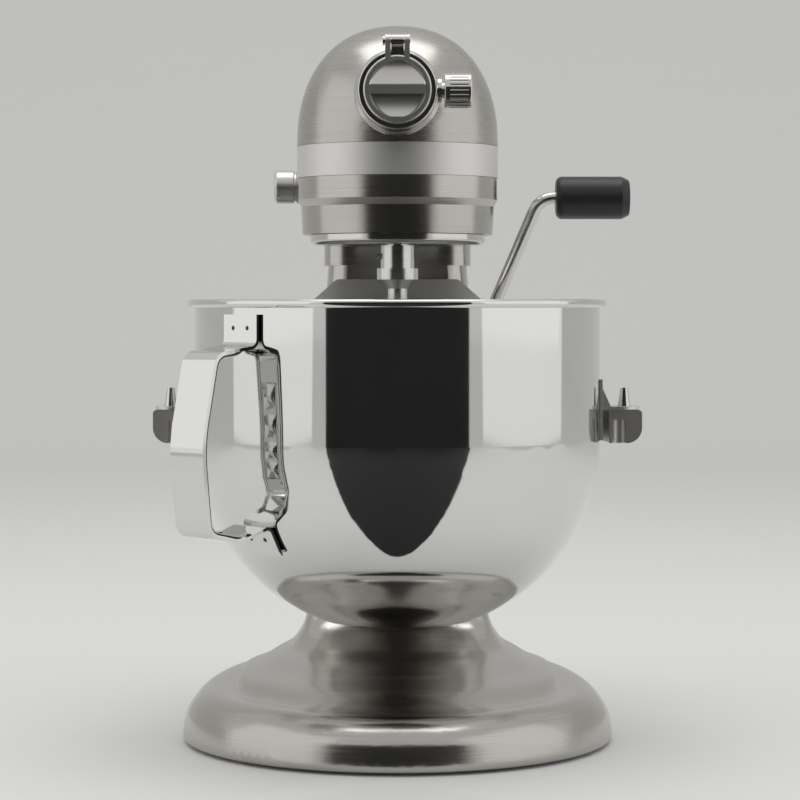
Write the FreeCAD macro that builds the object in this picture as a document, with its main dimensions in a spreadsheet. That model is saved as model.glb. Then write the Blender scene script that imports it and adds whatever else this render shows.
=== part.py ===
import FreeCAD, Part
import math
import os
import re

import Sketcher

# A bowl-lift stand mixer, in millimetres, +Z up and the front towards -Y. Every piece is drawn about
# the mixing axis (x = 0, y = 0, with the counter at z = 0) and its Placement then moves it by
# beater_axis_y, which puts the origin under the middle of the whole machine.

VEC = FreeCAD.Vector
SHEET = "Sizes"

SIZES = {
    # Frame
    "beater_axis_y": -63.5,
    # Feet
    "foot_height": 2.0,
    "foot_radius": 12.5,
    "foot_stem_radius": 4.0,
    "foot_stem_depth": 7.0,
    "foot_boss_radius": 15.0,
    "foot_front_y": -82.0,
    "foot_side_x": 88.0,
    "foot_side_y": 12.0,
    "foot_rear_x": 76.0,
    "foot_rear_y": 178.0,
    # Base casting
    "base_half_width": 126.0,
    "base_front": 110.0,
    "base_wide_y": 24.5,
    "base_rear": 244.0,
    "base_lip": 6.0,
    "base_edge_break": 1.2,
    "rim_width": 20.0,
    "rim_height": 22.0,
    "dish_height": 40.0,
    "cove_top": 66.0,
    "base_wall": 9.0,
    "base_cavity_top": 15.0,
    # Column
    "column_front": 138.0,
    "column_rear": 214.0,
    "column_half_low": 57.5,
    "column_half_top": 44.5,
    "column_top": 281.0,
    "column_wall": 5.0,
    "slideway_depth": 1.5,
    "slideway_half": 36.0,
    "slideway_low": 136.0,
    "grommet_z": 96.0,
    "grommet_radius": 7.0,
    "grommet_bore": 4.0,
    "grommet_lip": 2.0,
    # Head shell
    "head_radius": 58.5,
    "head_tail_radius": 47.0,
    "head_tail_y": 202.0,
    "head_top": 419.0,
    "head_wall": 3.5,
    "dome_power": 2.25,
    "dome_nose_shift": 8.0,
    "dome_tail_shift": 45.0,
    "band_bottom": 329.5,
    "band_top": 348.0,
    "band_thickness": 2.0,
    "housing_bottom": 297.0,
    "housing_step": 313.0,
    "housing_ogee": 4.0,
    "housing_inset": 0.5,
    "step_inset": 2.5,
    "step_taper": 0.7,
    "housing_floor": 4.0,
    "gear_web_bottom": 309.5,
    "gear_web": 4.0,
    "rear_split_y": 225.0,
    "neck_margin": 2.5,
    "seam": 0.2,
    "screw_radius": 2.9,
    "screw_head_radius": 5.0,
    "screw_head_height": 4.0,
    "head_screw_x": 25.0,
    "head_screw_front_y": 158.0,
    "head_screw_rear_y": 196.0,
    "head_screw_reach": 9.0,
    "rear_screw_z": 352.0,
    # Fits
    "press_gap": 0.1,
    "run_gap": 0.05,
    "clearance": 0.3,
    # Gears
    "gear_module": 1.5,
    "gear_pressure": 25.0,
    "gear_backlash": 0.3,
    "tooth_addendum": 0.8,
    "tooth_dedendum": 1.05,
    "ring_teeth": 50.0,
    "planet_teeth": 14.0,
    "centre_teeth": 42.0,
    "pinion_teeth": 14.0,
    "wheel_teeth": 24.0,
    "bevel_teeth": 18.0,
    "ring_rim": 6.0,
    "ring_gear_bottom": 299.3,
    "ring_gear_height": 9.0,
    "planet_height": 7.5,
    "centre_gear_bottom": 318.0,
    "centre_gear_height": 9.0,
    "pinion_height": 11.0,
    "wheel_height": 10.0,
    "wheel_hub_radius": 9.0,
    "wheel_hub_height": 13.0,
    "worm_radius": 8.0,
    "worm_turns_half": 3.0,
    "bevel_addendum": 1.0,
    "bevel_dedendum": 1.45,
    "bevel_face": 0.66,
    "bevel_pressure": 20.0,
    "bevel_hub_radius": 9.0,
    # Shafts and bushes
    "centre_shaft_radius": 6.0,
    "wheel_shaft_radius": 5.0,
    "bush_wall": 3.5,
    "bush_lower_height": 6.0,
    "bush_upper_height": 4.6,
    "bracket_bottom": 354.3,
    "bracket_plate": 4.0,
    "bracket_radius": 48.0,
    "bracket_post_radius": 4.0,
    "bracket_post_reach": 43.0,
    # Planetary and beater
    "planet_disc_radius": 47.0,
    "planet_disc_bottom": 290.8,
    "planet_disc_height": 5.6,
    "planet_boss_radius": 10.0,
    "beater_boss_radius": 12.0,
    "beater_boss_top": 298.8,
    "drip_ring_radius": 50.7,
    "drip_ring_round": 3.0,
    "beater_radius": 6.35,
    "beater_bush_wall": 2.6,
    "beater_bottom": 272.0,
    "beater_pin_z": 284.0,
    "beater_pin_radius": 1.7,
    "beater_pin_left": 12.0,
    "beater_pin_right": 6.0,
    "hook_hub_radius": 9.5,
    "hook_hub_top": 290.2,
    "hook_collar_radius": 11.7,
    "hook_collar_low": 270.7,
    "hook_collar_high": 277.0,
    "hook_stem_radius": 5.5,
    "hook_neck_radius": 5.9,
    "hook_neck_low": 265.5,
    "hook_neck_flare": 9.1,
    "hook_bend_top": 252.0,
    "hook_tip_radius": 5.75,
    "hook_spiral_radius": 36.0,
    "hook_low": 96.0,
    "hook_turns": 1.25,
    # Motor
    "motor_z": 344.0,
    "motor_radius": 36.0,
    "motor_case_wall": 2.0,
    "motor_front": 84.0,
    "motor_length": 102.0,
    "bell_thickness": 4.0,
    "bell_boss_radius": 14.0,
    "bell_boss_length": 6.0,
    "motor_shaft_radius": 5.0,
    "motor_shaft_front": 13.0,
    "bearing_radius": 11.0,
    "bearing_width": 7.0,
    "core_radius": 27.5,
    "core_start": 104.0,
    "core_length": 46.0,
    "core_slots": 12.0,
    "core_slot_depth": 7.0,
    "core_slot_width": 3.0,
    "air_gap": 0.7,
    "magnet_margin": 4.0,
    "magnet_gap_half": 9.0,
    "fan_start": 90.0,
    "fan_width": 8.0,
    "fan_radius": 30.0,
    "fan_blades": 9.0,
    "fan_blade": 1.6,
    "fan_hub_radius": 11.0,
    "commutator_start": 157.0,
    "commutator_length": 14.0,
    "commutator_radius": 12.0,
    "brush_side": 6.0,
    "brush_wall": 1.6,
    "cradle_front_y": 100.0,
    "cradle_rear_y": 168.0,
    "cradle_thickness": 6.0,
    "cradle_half": 30.0,
    # Control board and speed control
    "board_x": -39.0,
    "board_thickness": 1.6,
    "board_start": 112.0,
    "board_length": 56.0,
    "board_top": 346.0,
    "board_rail": 10.0,
    "board_part_depth": 5.0,
    "speed_z": 326.5,
    "speed_y": 45.0,
    "speed_travel": 55.0,
    "speed_stem_radius": 2.2,
    "speed_knob_radius": 9.9,
    "speed_knob_length": 16.7,
    "speed_knob_groove": 1.2,
    "speed_knob_gap": 1.0,
    "speed_slider_half": 11.0,
    "speed_slider_depth": 3.0,
    # Attachment hub
    "hub_z": 375.5,
    "hub_front": 80.0,
    "hub_radius": 22.0,
    "hub_root_radius": 24.5,
    "hub_root_y": 59.0,
    "hub_bore_radius": 17.0,
    "hub_bore_depth": 34.0,
    "hub_rear_wall": 7.0,
    "drive_shaft_radius": 9.5,
    "drive_square": 9.6,
    "drive_square_depth": 12.0,
    "drive_stem_radius": 5.0,
    "cover_radius": 19.0,
    "cover_thickness": 4.3,
    "cover_rim": 3.2,
    "cover_dish": 2.0,
    "cover_bar_half": 2.3,
    "cover_bar_proud": 1.0,
    "hinge_rise": 27.0,
    "hinge_radius": 3.6,
    "hinge_pin_radius": 1.5,
    "hinge_lug_half": 3.5,
    "hinge_ear": 3.0,
    "thumb_y": 72.0,
    "thumb_screw_radius": 3.0,
    "thumb_washer_radius": 7.0,
    "thumb_washer": 2.2,
    "thumb_neck": 1.6,
    "thumb_knob_radius": 9.7,
    "thumb_knob_length": 15.4,
    "thumb_flutes": 24.0,
    "thumb_flute_radius": 0.8,
    # Lift lever
    "lever_y": 158.0,
    "lever_z": 236.0,
    "lever_rod_radius": 4.0,
    "lever_elbow_x": 53.5,
    "lever_top_x": 90.0,
    "lever_rise": 89.6,
    "lever_low_bend": 8.0,
    "lever_high_bend": 14.0,
    "lever_lean": 12.0,
    "lever_end_x": 146.6,
    "grip_radius": 13.5,
    "grip_length": 46.5,
    "grip_round": 4.0,
    "grip_cap": 5.0,
    "lever_bush_radius": 8.0,
    "lever_bush_inner_x": 14.0,
    "lever_bush_outer_x": 47.4,
    "crank_radius": 21.213,
    "crank_hub_radius": 8.0,
    "crank_thickness": 6.0,
    "crank_inner_x": 1.0,
    "crank_pin_radius": 3.0,
    "crank_pin_length": 9.0,
    # Bowl support
    "yoke_inner": 123.0,
    "yoke_outer": 142.0,
    "yoke_bottom": 176.0,
    "yoke_top": 195.2,
    "yoke_round": 9.0,
    "yoke_sweep": 187.0,
    "yoke_plate_top": 272.0,
    "yoke_plate_top_half": 38.0,
    "yoke_shoulder_half": 56.0,
    "yoke_shoulder_z": 256.0,
    "yoke_plate_front": 96.0,
    "yoke_notch_x": 128.3,
    "yoke_notch_y": 9.0,
    "yoke_notch_radius": 4.4,
    "yoke_notch_top": 189.5,
    "tongue_half": 18.0,
    "tongue_low": 205.0,
    "tongue_high": 262.0,
    "keeper_half": 28.0,
    "keeper_thickness": 4.0,
    "lug_thickness": 6.0,
    "lug_half_height": 10.0,
    "lug_margin": 5.0,
    "slot_play": 0.9,
    "lift_travel": 30.0,
    "keeper_screw_radius": 2.0,
    "keeper_screw_head": 3.5,
    "keeper_screw_x": 12.5,
    "keeper_screw_inset": 9.0,
    "pin_x": 132.0,
    "pin_base_radius": 4.0,
    "pin_tip_radius": 2.1,
    "pin_height": 12.8,
    "pin_shank_radius": 3.0,
    "pin_shank_depth": 12.0,
    "latch_z": 205.0,
    "latch_height": 17.0,
    "latch_half": 9.0,
    "latch_leaf": 1.2,
    "latch_reach": 3.2,
    # Bowl
    "bowl_radius": 117.6,
    "bowl_wall": 1.0,
    "bowl_bottom": 73.0,
    "bowl_floor_radius": 42.0,
    "bowl_floor_slope": 20.0,
    "bowl_round": 112.0,
    "bowl_floor_round": 8.0,
    "bowl_top": 259.4,
    "bowl_bead": 4.6,
    "bowl_bead_reach": 4.2,
    "bowl_bead_round": 2.0,
    "ear_thickness": 1.8,
    "ear_half": 11.0,
    "ear_centre_x": 130.0,
    "ear_hole_radius": 4.4,
    "bracket_sheet": 1.6,
    "bracket_half": 15.0,
    "bracket_low": 178.0,
    "bracket_high": 213.0,
    "gusset_reach": 5.0,
    "gusset_y": 8.0,
    "rear_pin_z": 213.0,
    "rear_pin_radius": 3.0,
    "rear_pin_length": 2.6,
    # Bowl handle
    "handle_azimuth": 223.3,
    "handle_width": 28.0,
    "handle_thickness": 1.8,
    "handle_tab_top": 251.0,
    "handle_shelf_inner_z": 233.2,
    "handle_shelf_reach": 29.9,
    "handle_shelf_outer_z": 229.6,
    "handle_bow_reach": 39.9,
    "handle_bow_z": 180.0,
    "handle_foot_reach": 34.9,
    "handle_foot_z": 131.0,
    "handle_dip_reach": 13.4,
    "handle_dip_z": 126.4,
    "handle_weld_x": 109.6,
    "handle_weld_z": 133.6,
    "handle_end_x": 100.9,
    "handle_end_z": 117.2,
    "handle_tab_bend": 5.0,
    "handle_shelf_bend": 9.0,
    "handle_bow_bend": 90.0,
    "handle_foot_bend": 9.0,
    "handle_dip_bend": 14.0,
    "handle_weld_bend": 3.5,
    # How far cuts and joins run past a face or into it
    "cut_past": 1.0,
    "slideway_past": 9.0,
    "split_past": 9.0,
    "speed_slot_out": 10.0,
    "speed_slot_in": 16.0,
    "hook_neck_sink": 2.0,
    "hook_neck_run": 3.0,
    "speed_stem_sink": 2.0,
    "hinge_lug_sink": 3.0,
    "cover_bar_sink": 0.5,
    "cover_ear_sink": 4.0,
    "thumb_screw_sink": 5.0,
    "tongue_sink": 2.0,
    "ear_sink": 3.0,
    "bracket_window": 9.0,
    # Gaps and walls round small pieces
    "keeper_side_gap": 2.0,
    "inner_way_depth": 8.0,
    "inner_way_end_gap": 6.0,
    "rear_cavity_inset": 0.5,
    "rear_cavity_gap": 8.0,
    "rail_near": 3.0,
    "rail_far": 4.0,
    "rail_end": 2.0,
    "board_stand": 3.0,
    "board_parts": 3.0,
    "board_part_gap": 4.0,
    "board_part_low": 16.0,
    "post_angle_right": -20.0,
    "post_angle_rear": 60.0,
    "post_angle_left": 200.0,
    "planet_floor": 1.0,
    "brush_case_gap": 1.0,
    "brush_holder_gap": 2.0,
    "brush_spring_room": 3.0,
    "lever_tip_gap": 2.0,
    "crank_angle": 45.0,
    "crank_end_wall": 3.0,
    "crank_arm_wall": 2.0,
    "lug_gap": 2.0,
    # Small details of the turned and plated pieces
    "grommet_flare": 1.0,
    "speed_knob_chamfer": 1.0,
    "speed_knob_collar": 3.0,
    "speed_groove_slope": 0.6,
    "speed_groove_floor": 1.0,
    "speed_knob_round": 2.2,
    "hub_edge_round": 1.0,
    "hub_flare_length": 5.0,
    "hub_flare_round": 6.0,
    "hinge_lug_depth": 12.0,
    "cover_edge_round": 1.2,
    "cover_dish_slope": 1.0,
    "hinge_pin_proud": 0.3,
    "hinge_head_radius": 2.55,
    "hinge_head_height": 1.2,
    "hinge_head_reach": 1.4,
    "thumb_inner_round": 0.8,
    "thumb_outer_round": 1.2,
    "thumb_flute_start": 3.0,
    "thumb_flute_length": 10.4,
    "grip_end_taper": 2.5,
    "grip_end_round": 1.5,
    "yoke_top_round": 2.0,
    "yoke_shoulder_round": 6.0,
    "yoke_plate_round": 4.0,
}

# Sizes that follow from the driving ones
RING_PITCH = "gear_module * ring_teeth / 2"
RING_OUTER = "gear_module * (ring_teeth / 2 + tooth_dedendum) + ring_rim"
BEATER_OFFSET = "gear_module * (ring_teeth - planet_teeth) / 2"
WHEEL_X = "-(worm_radius + gear_module * wheel_teeth / 2)"
GEAR_SPAN = "gear_module * (centre_teeth + pinion_teeth) / 2"
WHEEL_Y = f"sqrt(({GEAR_SPAN})^2 - ({WHEEL_X})^2)"
BEVEL_PITCH = "gear_module * bevel_teeth / 2"
WEB_TOP = "gear_web_bottom + gear_web"
BRACKET_TOP = "bracket_bottom + bracket_plate"
COLUMN_MID = "(column_front - slideway_depth + column_rear) / 2"
MOTOR_END = "motor_front + motor_length"
HINGE_Z = "hub_z + hinge_rise"
COVER_BACK = "-(hub_front + clearance)"
COVER_FRONT = "-(hub_front + clearance + cover_thickness)"
YOKE_BACK = "column_front - clearance"
KEEPER_FRONT = "column_front + column_wall + clearance"
CRANK_PIN_Z = "lever_z + crank_radius * sin(crank_angle)"
EAR_BOTTOM = "yoke_top + clearance"
BOWL_TURN = "bowl_bottom + (bowl_radius - bowl_floor_radius) * tan(bowl_floor_slope)"
HANDLE_LINE = "bowl_radius + clearance / 2 + handle_thickness / 2"

doc = FreeCAD.newDocument("StandMixer")
sheet = doc.addObject("Spreadsheet::Sheet", SHEET)
sub_parts = {}


def fill_sheet():
    """Writes every driving size to the sheet, one named cell a row."""
    for row, (name, number) in enumerate(SIZES.items(), start=1):
        sheet.set(f"A{row}", name)
        sheet.set(f"B{row}", str(number))
        sheet.setAlias(f"B{row}", name)
    doc.recompute()


def bound(expression):
    """Puts the sheet's name before each size in an expression."""
    def named(word):
        return f"{SHEET}.{word[0]}" if word[0] in SIZES else word[0]
    return re.sub(r"[a-z][a-z0-9_]*", named, str(expression))


def value(expression):
    """Works out an expression of sizes as a number."""
    return float(sheet.evalExpression(bound(expression)))


def bind(item, place, expression):
    item.setExpression(place, bound(expression))


# Part primitives and booleans

def box(name, x, y, z):
    """A box from low and high expressions along each axis."""
    item = doc.addObject("Part::Box", name)
    for side, axis, (low, high) in zip(("Length", "Width", "Height"), "xyz", (x, y, z)):
        bind(item, side, f"({high}) - ({low})")
        bind(item, f"Placement.Base.{axis}", low)
    return item


def turn_to(axis):
    """The rotation that carries +Z to the axis named."""
    turns = {"x": (VEC(0, 1, 0), 90), "y": (VEC(1, 0, 0), -90), "z": (VEC(0, 0, 1), 0)}
    return FreeCAD.Rotation(*turns[axis])


def put(item, axis, start):
    item.Placement = FreeCAD.Placement(VEC(), turn_to(axis))
    for letter, expression in zip("xyz", start):
        bind(item, f"Placement.Base.{letter}", expression)
    return item


def rod(name, radius, length, axis="z", start=("0", "0", "0")):
    item = doc.addObject("Part::Cylinder", name)
    bind(item, "Radius", radius)
    bind(item, "Height", length)
    return put(item, axis, start)


def taper(name, radius_low, radius_high, length, axis="z", start=("0", "0", "0")):
    item = doc.addObject("Part::Cone", name)
    bind(item, "Radius1", radius_low)
    bind(item, "Radius2", radius_high)
    bind(item, "Height", length)
    return put(item, axis, start)


def fuse(name, *items):
    item = doc.addObject("Part::MultiFuse", name)
    item.Shapes = list(items)
    return item


def cut(name, base, *tools):
    item = doc.addObject("Part::Cut", name)
    item.Base = base
    item.Tool = tools[0] if len(tools) == 1 else fuse(f"{name}_tools", *tools)
    return item


def common(name, first, second):
    item = doc.addObject("Part::MultiCommon", name)
    item.Shapes = [first, second]
    return item


def group(name, items):
    item = doc.addObject("Part::Compound", name)
    item.Links = list(items)
    return item


def mirror_x(name, source):
    item = doc.addObject("Part::Mirroring", name)
    item.Source = source
    item.Normal = VEC(1, 0, 0)
    return item


def shaped(name, shape):
    """Holds a shape that the primitives and sketches don't make."""
    item = doc.addObject("Part::Feature", name)
    item.Shape = shape
    return item


def tube(name, outer, inner, length, axis="z", start=("0", "0", "0")):
    return cut(name, rod(f"{name}_outer", outer, length, axis, start),
               rod(f"{name}_bore", inner, length, axis, start))


def sub_part(item, label, at=("0", "0", "0")):
    """Names a finished piece and moves it from the mixing axis into the frame."""
    item.Label = label
    bind(item, "Placement.Base.x", at[0])
    bind(item, "Placement.Base.y", f"beater_axis_y + ({at[1]})")
    bind(item, "Placement.Base.z", at[2])
    sub_parts[label] = item
    return item


# Sketches and the features made from them

def new_body(name):
    return doc.addObject("PartDesign::Body", name)


def new_sketch(body, role, offset="0"):
    """A sketch on one of the body's origin planes, moved along that plane's normal."""
    sketch = body.newObject("Sketcher::SketchObject", f"{body.Name}_sketch")
    plane = [item for item in body.Origin.OriginFeatures if item.Role == role][0]
    sketch.AttachmentSupport = [(plane, "")]
    sketch.MapMode = "FlatFace"
    bind(sketch, "AttachmentOffset.Base.z", offset)
    return sketch


def hold(sketch, geometry, point, across, along):
    """Fixes one point of a sketch at two expressions."""
    for kind, axis, expression in (("DistanceX", -2, across), ("DistanceY", -1, along)):
        number = value(expression)
        if number == 0:
            sketch.addConstraint(Sketcher.Constraint("PointOnObject", geometry, point, axis))
            continue
        index = sketch.addConstraint(Sketcher.Constraint(kind, -1, 1, geometry, point, number))
        bind(sketch, f"Constraints[{index}]", expression)


class Corner:
    """One corner of an outline, with the ends of its rounding where it has a radius."""

    def __init__(self, entry):
        self.across = entry[0]
        self.along = entry[1]
        self.radius = entry[2] if len(entry) > 2 else None
        self.point = VEC(value(self.across), value(self.along))
        self.entry = self.point
        self.exit = self.point

    def round_between(self, before, after):
        """Finds where the rounding leaves the two lines, and its centre."""
        back = (before - self.point).normalize()
        ahead = (after - self.point).normalize()
        half = back.getAngle(ahead) / 2
        radius = value(self.radius)
        reach = radius / math.tan(half)
        self.entry = self.point + back * reach
        self.exit = self.point + ahead * reach
        self.centre = self.point + (back + ahead).normalize() * (radius / math.sin(half))
        self.left_turn = (back.cross(ahead)).z < 0

    def arc(self):
        circle = Part.Circle(self.centre, VEC(0, 0, 1), value(self.radius))
        first, last = (self.entry, self.exit) if self.left_turn else (self.exit, self.entry)
        start = (first - self.centre)
        end = (last - self.centre)
        return Part.ArcOfCircle(circle, math.atan2(start.y, start.x), math.atan2(end.y, end.x))


def outline(sketch, entries, closed=True):
    """Lines through corners (across, along, radius); a corner with a radius is rounded."""
    corners = [Corner(entry) for entry in entries]
    count = len(corners)
    for place, corner in enumerate(corners):
        if corner.radius is not None:
            corner.round_between(corners[place - 1].point, corners[(place + 1) % count].point)
    lines = []
    for place in range(count if closed else count - 1):
        start = corners[place].exit
        end = corners[(place + 1) % count].entry
        lines.append(sketch.addGeometry(Part.LineSegment(start, end), False))
    for place, corner in enumerate(corners):
        first_end = not closed and place == 0
        last_end = not closed and place == count - 1
        if first_end:
            hold(sketch, lines[0], 1, corner.across, corner.along)
        elif last_end:
            hold(sketch, lines[-1], 2, corner.across, corner.along)
        elif corner.radius is None:
            sketch.addConstraint(Sketcher.Constraint("Coincident", lines[place - 1], 2, lines[place], 1))
            hold(sketch, lines[place], 1, corner.across, corner.along)
        else:
            round_corner(sketch, corner, lines[place - 1], lines[place])


def round_corner(sketch, corner, before, after):
    """Joins two lines by a tangent arc about the corner where they would meet."""
    mark = sketch.addGeometry(Part.Point(corner.point), True)
    arc = sketch.addGeometry(corner.arc(), False)
    arc_in, arc_out = (1, 2) if corner.left_turn else (2, 1)
    sketch.addConstraint([
        Sketcher.Constraint("Tangent", before, 2, arc, arc_in),
        Sketcher.Constraint("Tangent", after, 1, arc, arc_out),
        Sketcher.Constraint("PointOnObject", mark, 1, before),
        Sketcher.Constraint("PointOnObject", mark, 1, after),
    ])
    hold(sketch, mark, 1, corner.across, corner.along)
    index = sketch.addConstraint(Sketcher.Constraint("Radius", arc, value(corner.radius)))
    bind(sketch, f"Constraints[{index}]", corner.radius)


def circle_outline(sketch, across, along, radius):
    ring = sketch.addGeometry(Part.Circle(VEC(value(across), value(along)), VEC(0, 0, 1), value(radius)),
                              False)
    hold(sketch, ring, 3, across, along)
    index = sketch.addConstraint(Sketcher.Constraint("Radius", ring, value(radius)))
    bind(sketch, f"Constraints[{index}]", radius)


def turned(name, role, axis, corners, angle=360):
    """A body revolved from one outline; a part turn is centred on the sketch's plane."""
    body = new_body(name)
    sketch = new_sketch(body, role)
    outline(sketch, corners)
    feature = body.newObject("PartDesign::Revolution", f"{name}_turn")
    feature.Profile = sketch
    feature.ReferenceAxis = (sketch, [axis])
    bind(feature, "Angle", angle)
    feature.Midplane = angle != 360
    return body


def padded(name, role, corners, length, offset="0"):
    """A body extruded from one outline along its plane's normal."""
    body = new_body(name)
    sketch = new_sketch(body, role, offset)
    outline(sketch, corners)
    feature = body.newObject("PartDesign::Pad", f"{name}_pad")
    feature.Profile = sketch
    bind(feature, "Length", length)
    return body


def swept(name, role, path, profile_role, profile_offset, draw_profile):
    """A body swept along a rounded path from a profile that draw_profile makes."""
    body = new_body(name)
    spine = new_sketch(body, role)
    outline(spine, path, closed=False)
    profile = new_sketch(body, profile_role, profile_offset)
    draw_profile(profile)
    feature = body.newObject("PartDesign::AdditivePipe", f"{name}_sweep")
    feature.Profile = profile
    feature.Spine = spine
    feature.Transition = "Round corner"
    return body


# Lofted forms

def egg(half, front, rear, mid, z, front_power, rear_power, count=48):
    """Points of a closed outline whose front and rear halves are superellipses."""
    points = []
    for step in range(count):
        angle = 2 * math.pi * step / count
        across, along = math.cos(angle), math.sin(angle)
        reach = rear - mid if along > 0 else mid - front
        power = rear_power if along > 0 else front_power
        radius = (abs(across / half) ** power + abs(along / reach) ** power) ** (-1 / power)
        points.append(VEC(radius * across, mid + radius * along, z))
    return points


def ring_wire(points):
    curve = Part.BSplineCurve()
    curve.interpolate(points, PeriodicFlag=True)
    return Part.Wire(curve.toShape())


BASE_POWERS = (2.0, 2.4)
COLUMN_POWER = 5.0


def base_points(inset, z):
    return egg(value("base_half_width") - inset, inset - value("base_front"), value("base_rear") - inset,
               value("base_wide_y"), z, *BASE_POWERS)


def column_points(half, z, inset=0.0):
    return egg(half - inset, value("column_front - slideway_depth") + inset, value("column_rear") - inset,
               value(COLUMN_MID), z, COLUMN_POWER, COLUMN_POWER)


def base_form():
    """The base from its edge over the rounded rim and the gentle top to the cove under the column."""
    low = value("foot_height")
    lip_top = low + value("base_lip")
    rim_width, rim_height = value("rim_width"), value("rim_height")
    rim_top = lip_top + rim_height
    dish, cove_top = value("dish_height"), value("cove_top")
    edge = value("base_edge_break")
    wires = [ring_wire(base_points(edge, low)), ring_wire(base_points(0, low + edge)),
             ring_wire(base_points(0, lip_top))]
    for turn in (22.5, 45, 67.5, 90):
        inset = rim_width * (1 - math.cos(math.radians(turn)))
        wires.append(ring_wire(base_points(inset, lip_top + rim_height * math.sin(math.radians(turn)))))
    rim = base_points(rim_width, rim_top)
    foot = column_points(value("column_half_low"), cove_top)
    slope_share = 0.66
    stations = [(slope_share * part, rim_top + (dish - rim_top) * part) for part in (0.33, 0.67, 1.0)]
    for part in (0.3, 0.55, 0.75, 0.9, 1.0):
        rise = 1 - math.sqrt(1 - part * part)
        stations.append((slope_share + (1 - slope_share) * part, dish + (cove_top - dish) * rise))
    for share, z in stations:
        blend = [a * (1 - share) + b * share for a, b in zip(rim, foot)]
        wires.append(ring_wire([VEC(point.x, point.y, z) for point in blend]))
    return Part.makeLoft(wires, True, False)


def column_form(inset=0.0, low="cove_top", high="column_top"):
    """The tapering column, or its hollow when inset."""
    half_high = value("column_half_top")
    half_low = half_high if inset else value("column_half_low")
    wires = [ring_wire(column_points(half_low, value(low), inset)),
             ring_wire(column_points(half_high, value(high), inset))]
    return Part.makeLoft(wires, True, True)


def neck_form():
    """The straight neck between the column's top and the housing, a little wider than the column."""
    half = value("column_half_top + neck_margin")
    wires = [ring_wire(column_points(half, value(z))) for z in ("column_top", "housing_bottom + cut_past")]
    return Part.makeLoft(wires, True, True)


def head_wire(front_radius, tail_radius, front_y, tail_y, z):
    """Two arcs and their tangent lines: the head's outline at one height."""
    lean = math.asin((front_radius - tail_radius) / (tail_y - front_y))
    front_x, front_up = front_radius * math.cos(lean), front_y + front_radius * math.sin(lean)
    tail_x, tail_up = tail_radius * math.cos(lean), tail_y + tail_radius * math.sin(lean)
    nose = VEC(0, front_y - front_radius, z)
    stern = VEC(0, tail_y + tail_radius, z)
    corners = [VEC(-front_x, front_up, z), VEC(front_x, front_up, z), VEC(tail_x, tail_up, z),
               VEC(-tail_x, tail_up, z)]
    return Part.Wire([Part.Arc(corners[0], nose, corners[1]).toShape(),
                      Part.LineSegment(corners[1], corners[2]).toShape(),
                      Part.Arc(corners[2], stern, corners[3]).toShape(),
                      Part.LineSegment(corners[3], corners[0]).toShape()])


def head_slice(inset, z):
    """The head's outline below the dome, drawn in by an inset."""
    return head_wire(value("head_radius") - inset, value("head_tail_radius") - inset, 0,
                     value("head_tail_y"), z)


def dome_form(inset, low):
    """The domed cover: outlines that close in towards the top along a superellipse."""
    power = value("dome_power")
    height = value("head_top") - inset - value(low)
    wires = []
    for part in (0.0, 0.2, 0.38, 0.54, 0.68, 0.79, 0.875, 0.935, 0.972, 0.991, 0.999):
        width = (1 - part ** power) ** (1 / power)
        wires.append(head_wire((value("head_radius") - inset) * width,
                               (value("head_tail_radius") - inset) * width,
                               value("dome_nose_shift") * part ** 3,
                               value("head_tail_y") - value("dome_tail_shift") * part ** 3,
                               value(low) + height * part))
    return Part.makeLoft(wires, True, False)


def head_stack(levels):
    """A solid through head outlines given as (inset, height), with straight walls between."""
    return Part.makeLoft([head_slice(value(inset), value(z)) for inset, z in levels], True, True)


# Gears

def gear_wire(teeth, pitch_radius, addendum, dedendum, pressure, backlash, phase, z=0.0, scale=1.0):
    """A gear's outline about the origin, with one tooth centred at the phase angle."""
    base_radius = pitch_radius * math.cos(math.radians(pressure))
    pitch_half = math.pi / (2 * teeth) - backlash / (2 * pitch_radius)
    root = pitch_radius - dedendum

    def involute(radius):
        angle = math.acos(min(1.0, base_radius / radius))
        return math.tan(angle) - angle

    flank = []
    for radius in (root, pitch_radius, pitch_radius + addendum):
        lean = pitch_half + involute(pitch_radius) - involute(max(radius, base_radius))
        flank.append((radius, lean))
    points = []
    for tooth in range(int(teeth)):
        middle = math.radians(phase) + 2 * math.pi * tooth / teeth
        rise = [(radius, middle - lean) for radius, lean in flank]
        fall = [(radius, middle + lean) for radius, lean in reversed(flank)]
        for radius, angle in rise + fall:
            points.append(VEC(scale * radius * math.cos(angle), scale * radius * math.sin(angle), z))
    return Part.makePolygon(points + points[:1])


def spur_wire(teeth, phase, z=0.0, backlash="gear_backlash"):
    module = value("gear_module")
    return gear_wire(value(teeth), module * value(teeth) / 2, module * value("tooth_addendum"),
                     module * value("tooth_dedendum"), value("gear_pressure"), value(backlash), phase, z)


def spur_gear(teeth, phase, height):
    return Part.Face(spur_wire(teeth, phase)).extrude(VEC(0, 0, value(height)))


def worm_wheel_form():
    """Teeth that lean with the worm's lead, as a straight loft from the lower to the upper outline."""
    lead_slope = value("gear_module / (2 * worm_radius)")
    half = value("wheel_height") / 2
    lean = math.degrees(half * lead_slope / value("gear_module * wheel_teeth / 2"))
    return Part.makeLoft([spur_wire("wheel_teeth", -lean, -half), spur_wire("wheel_teeth", lean, half)],
                         True, True)


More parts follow.
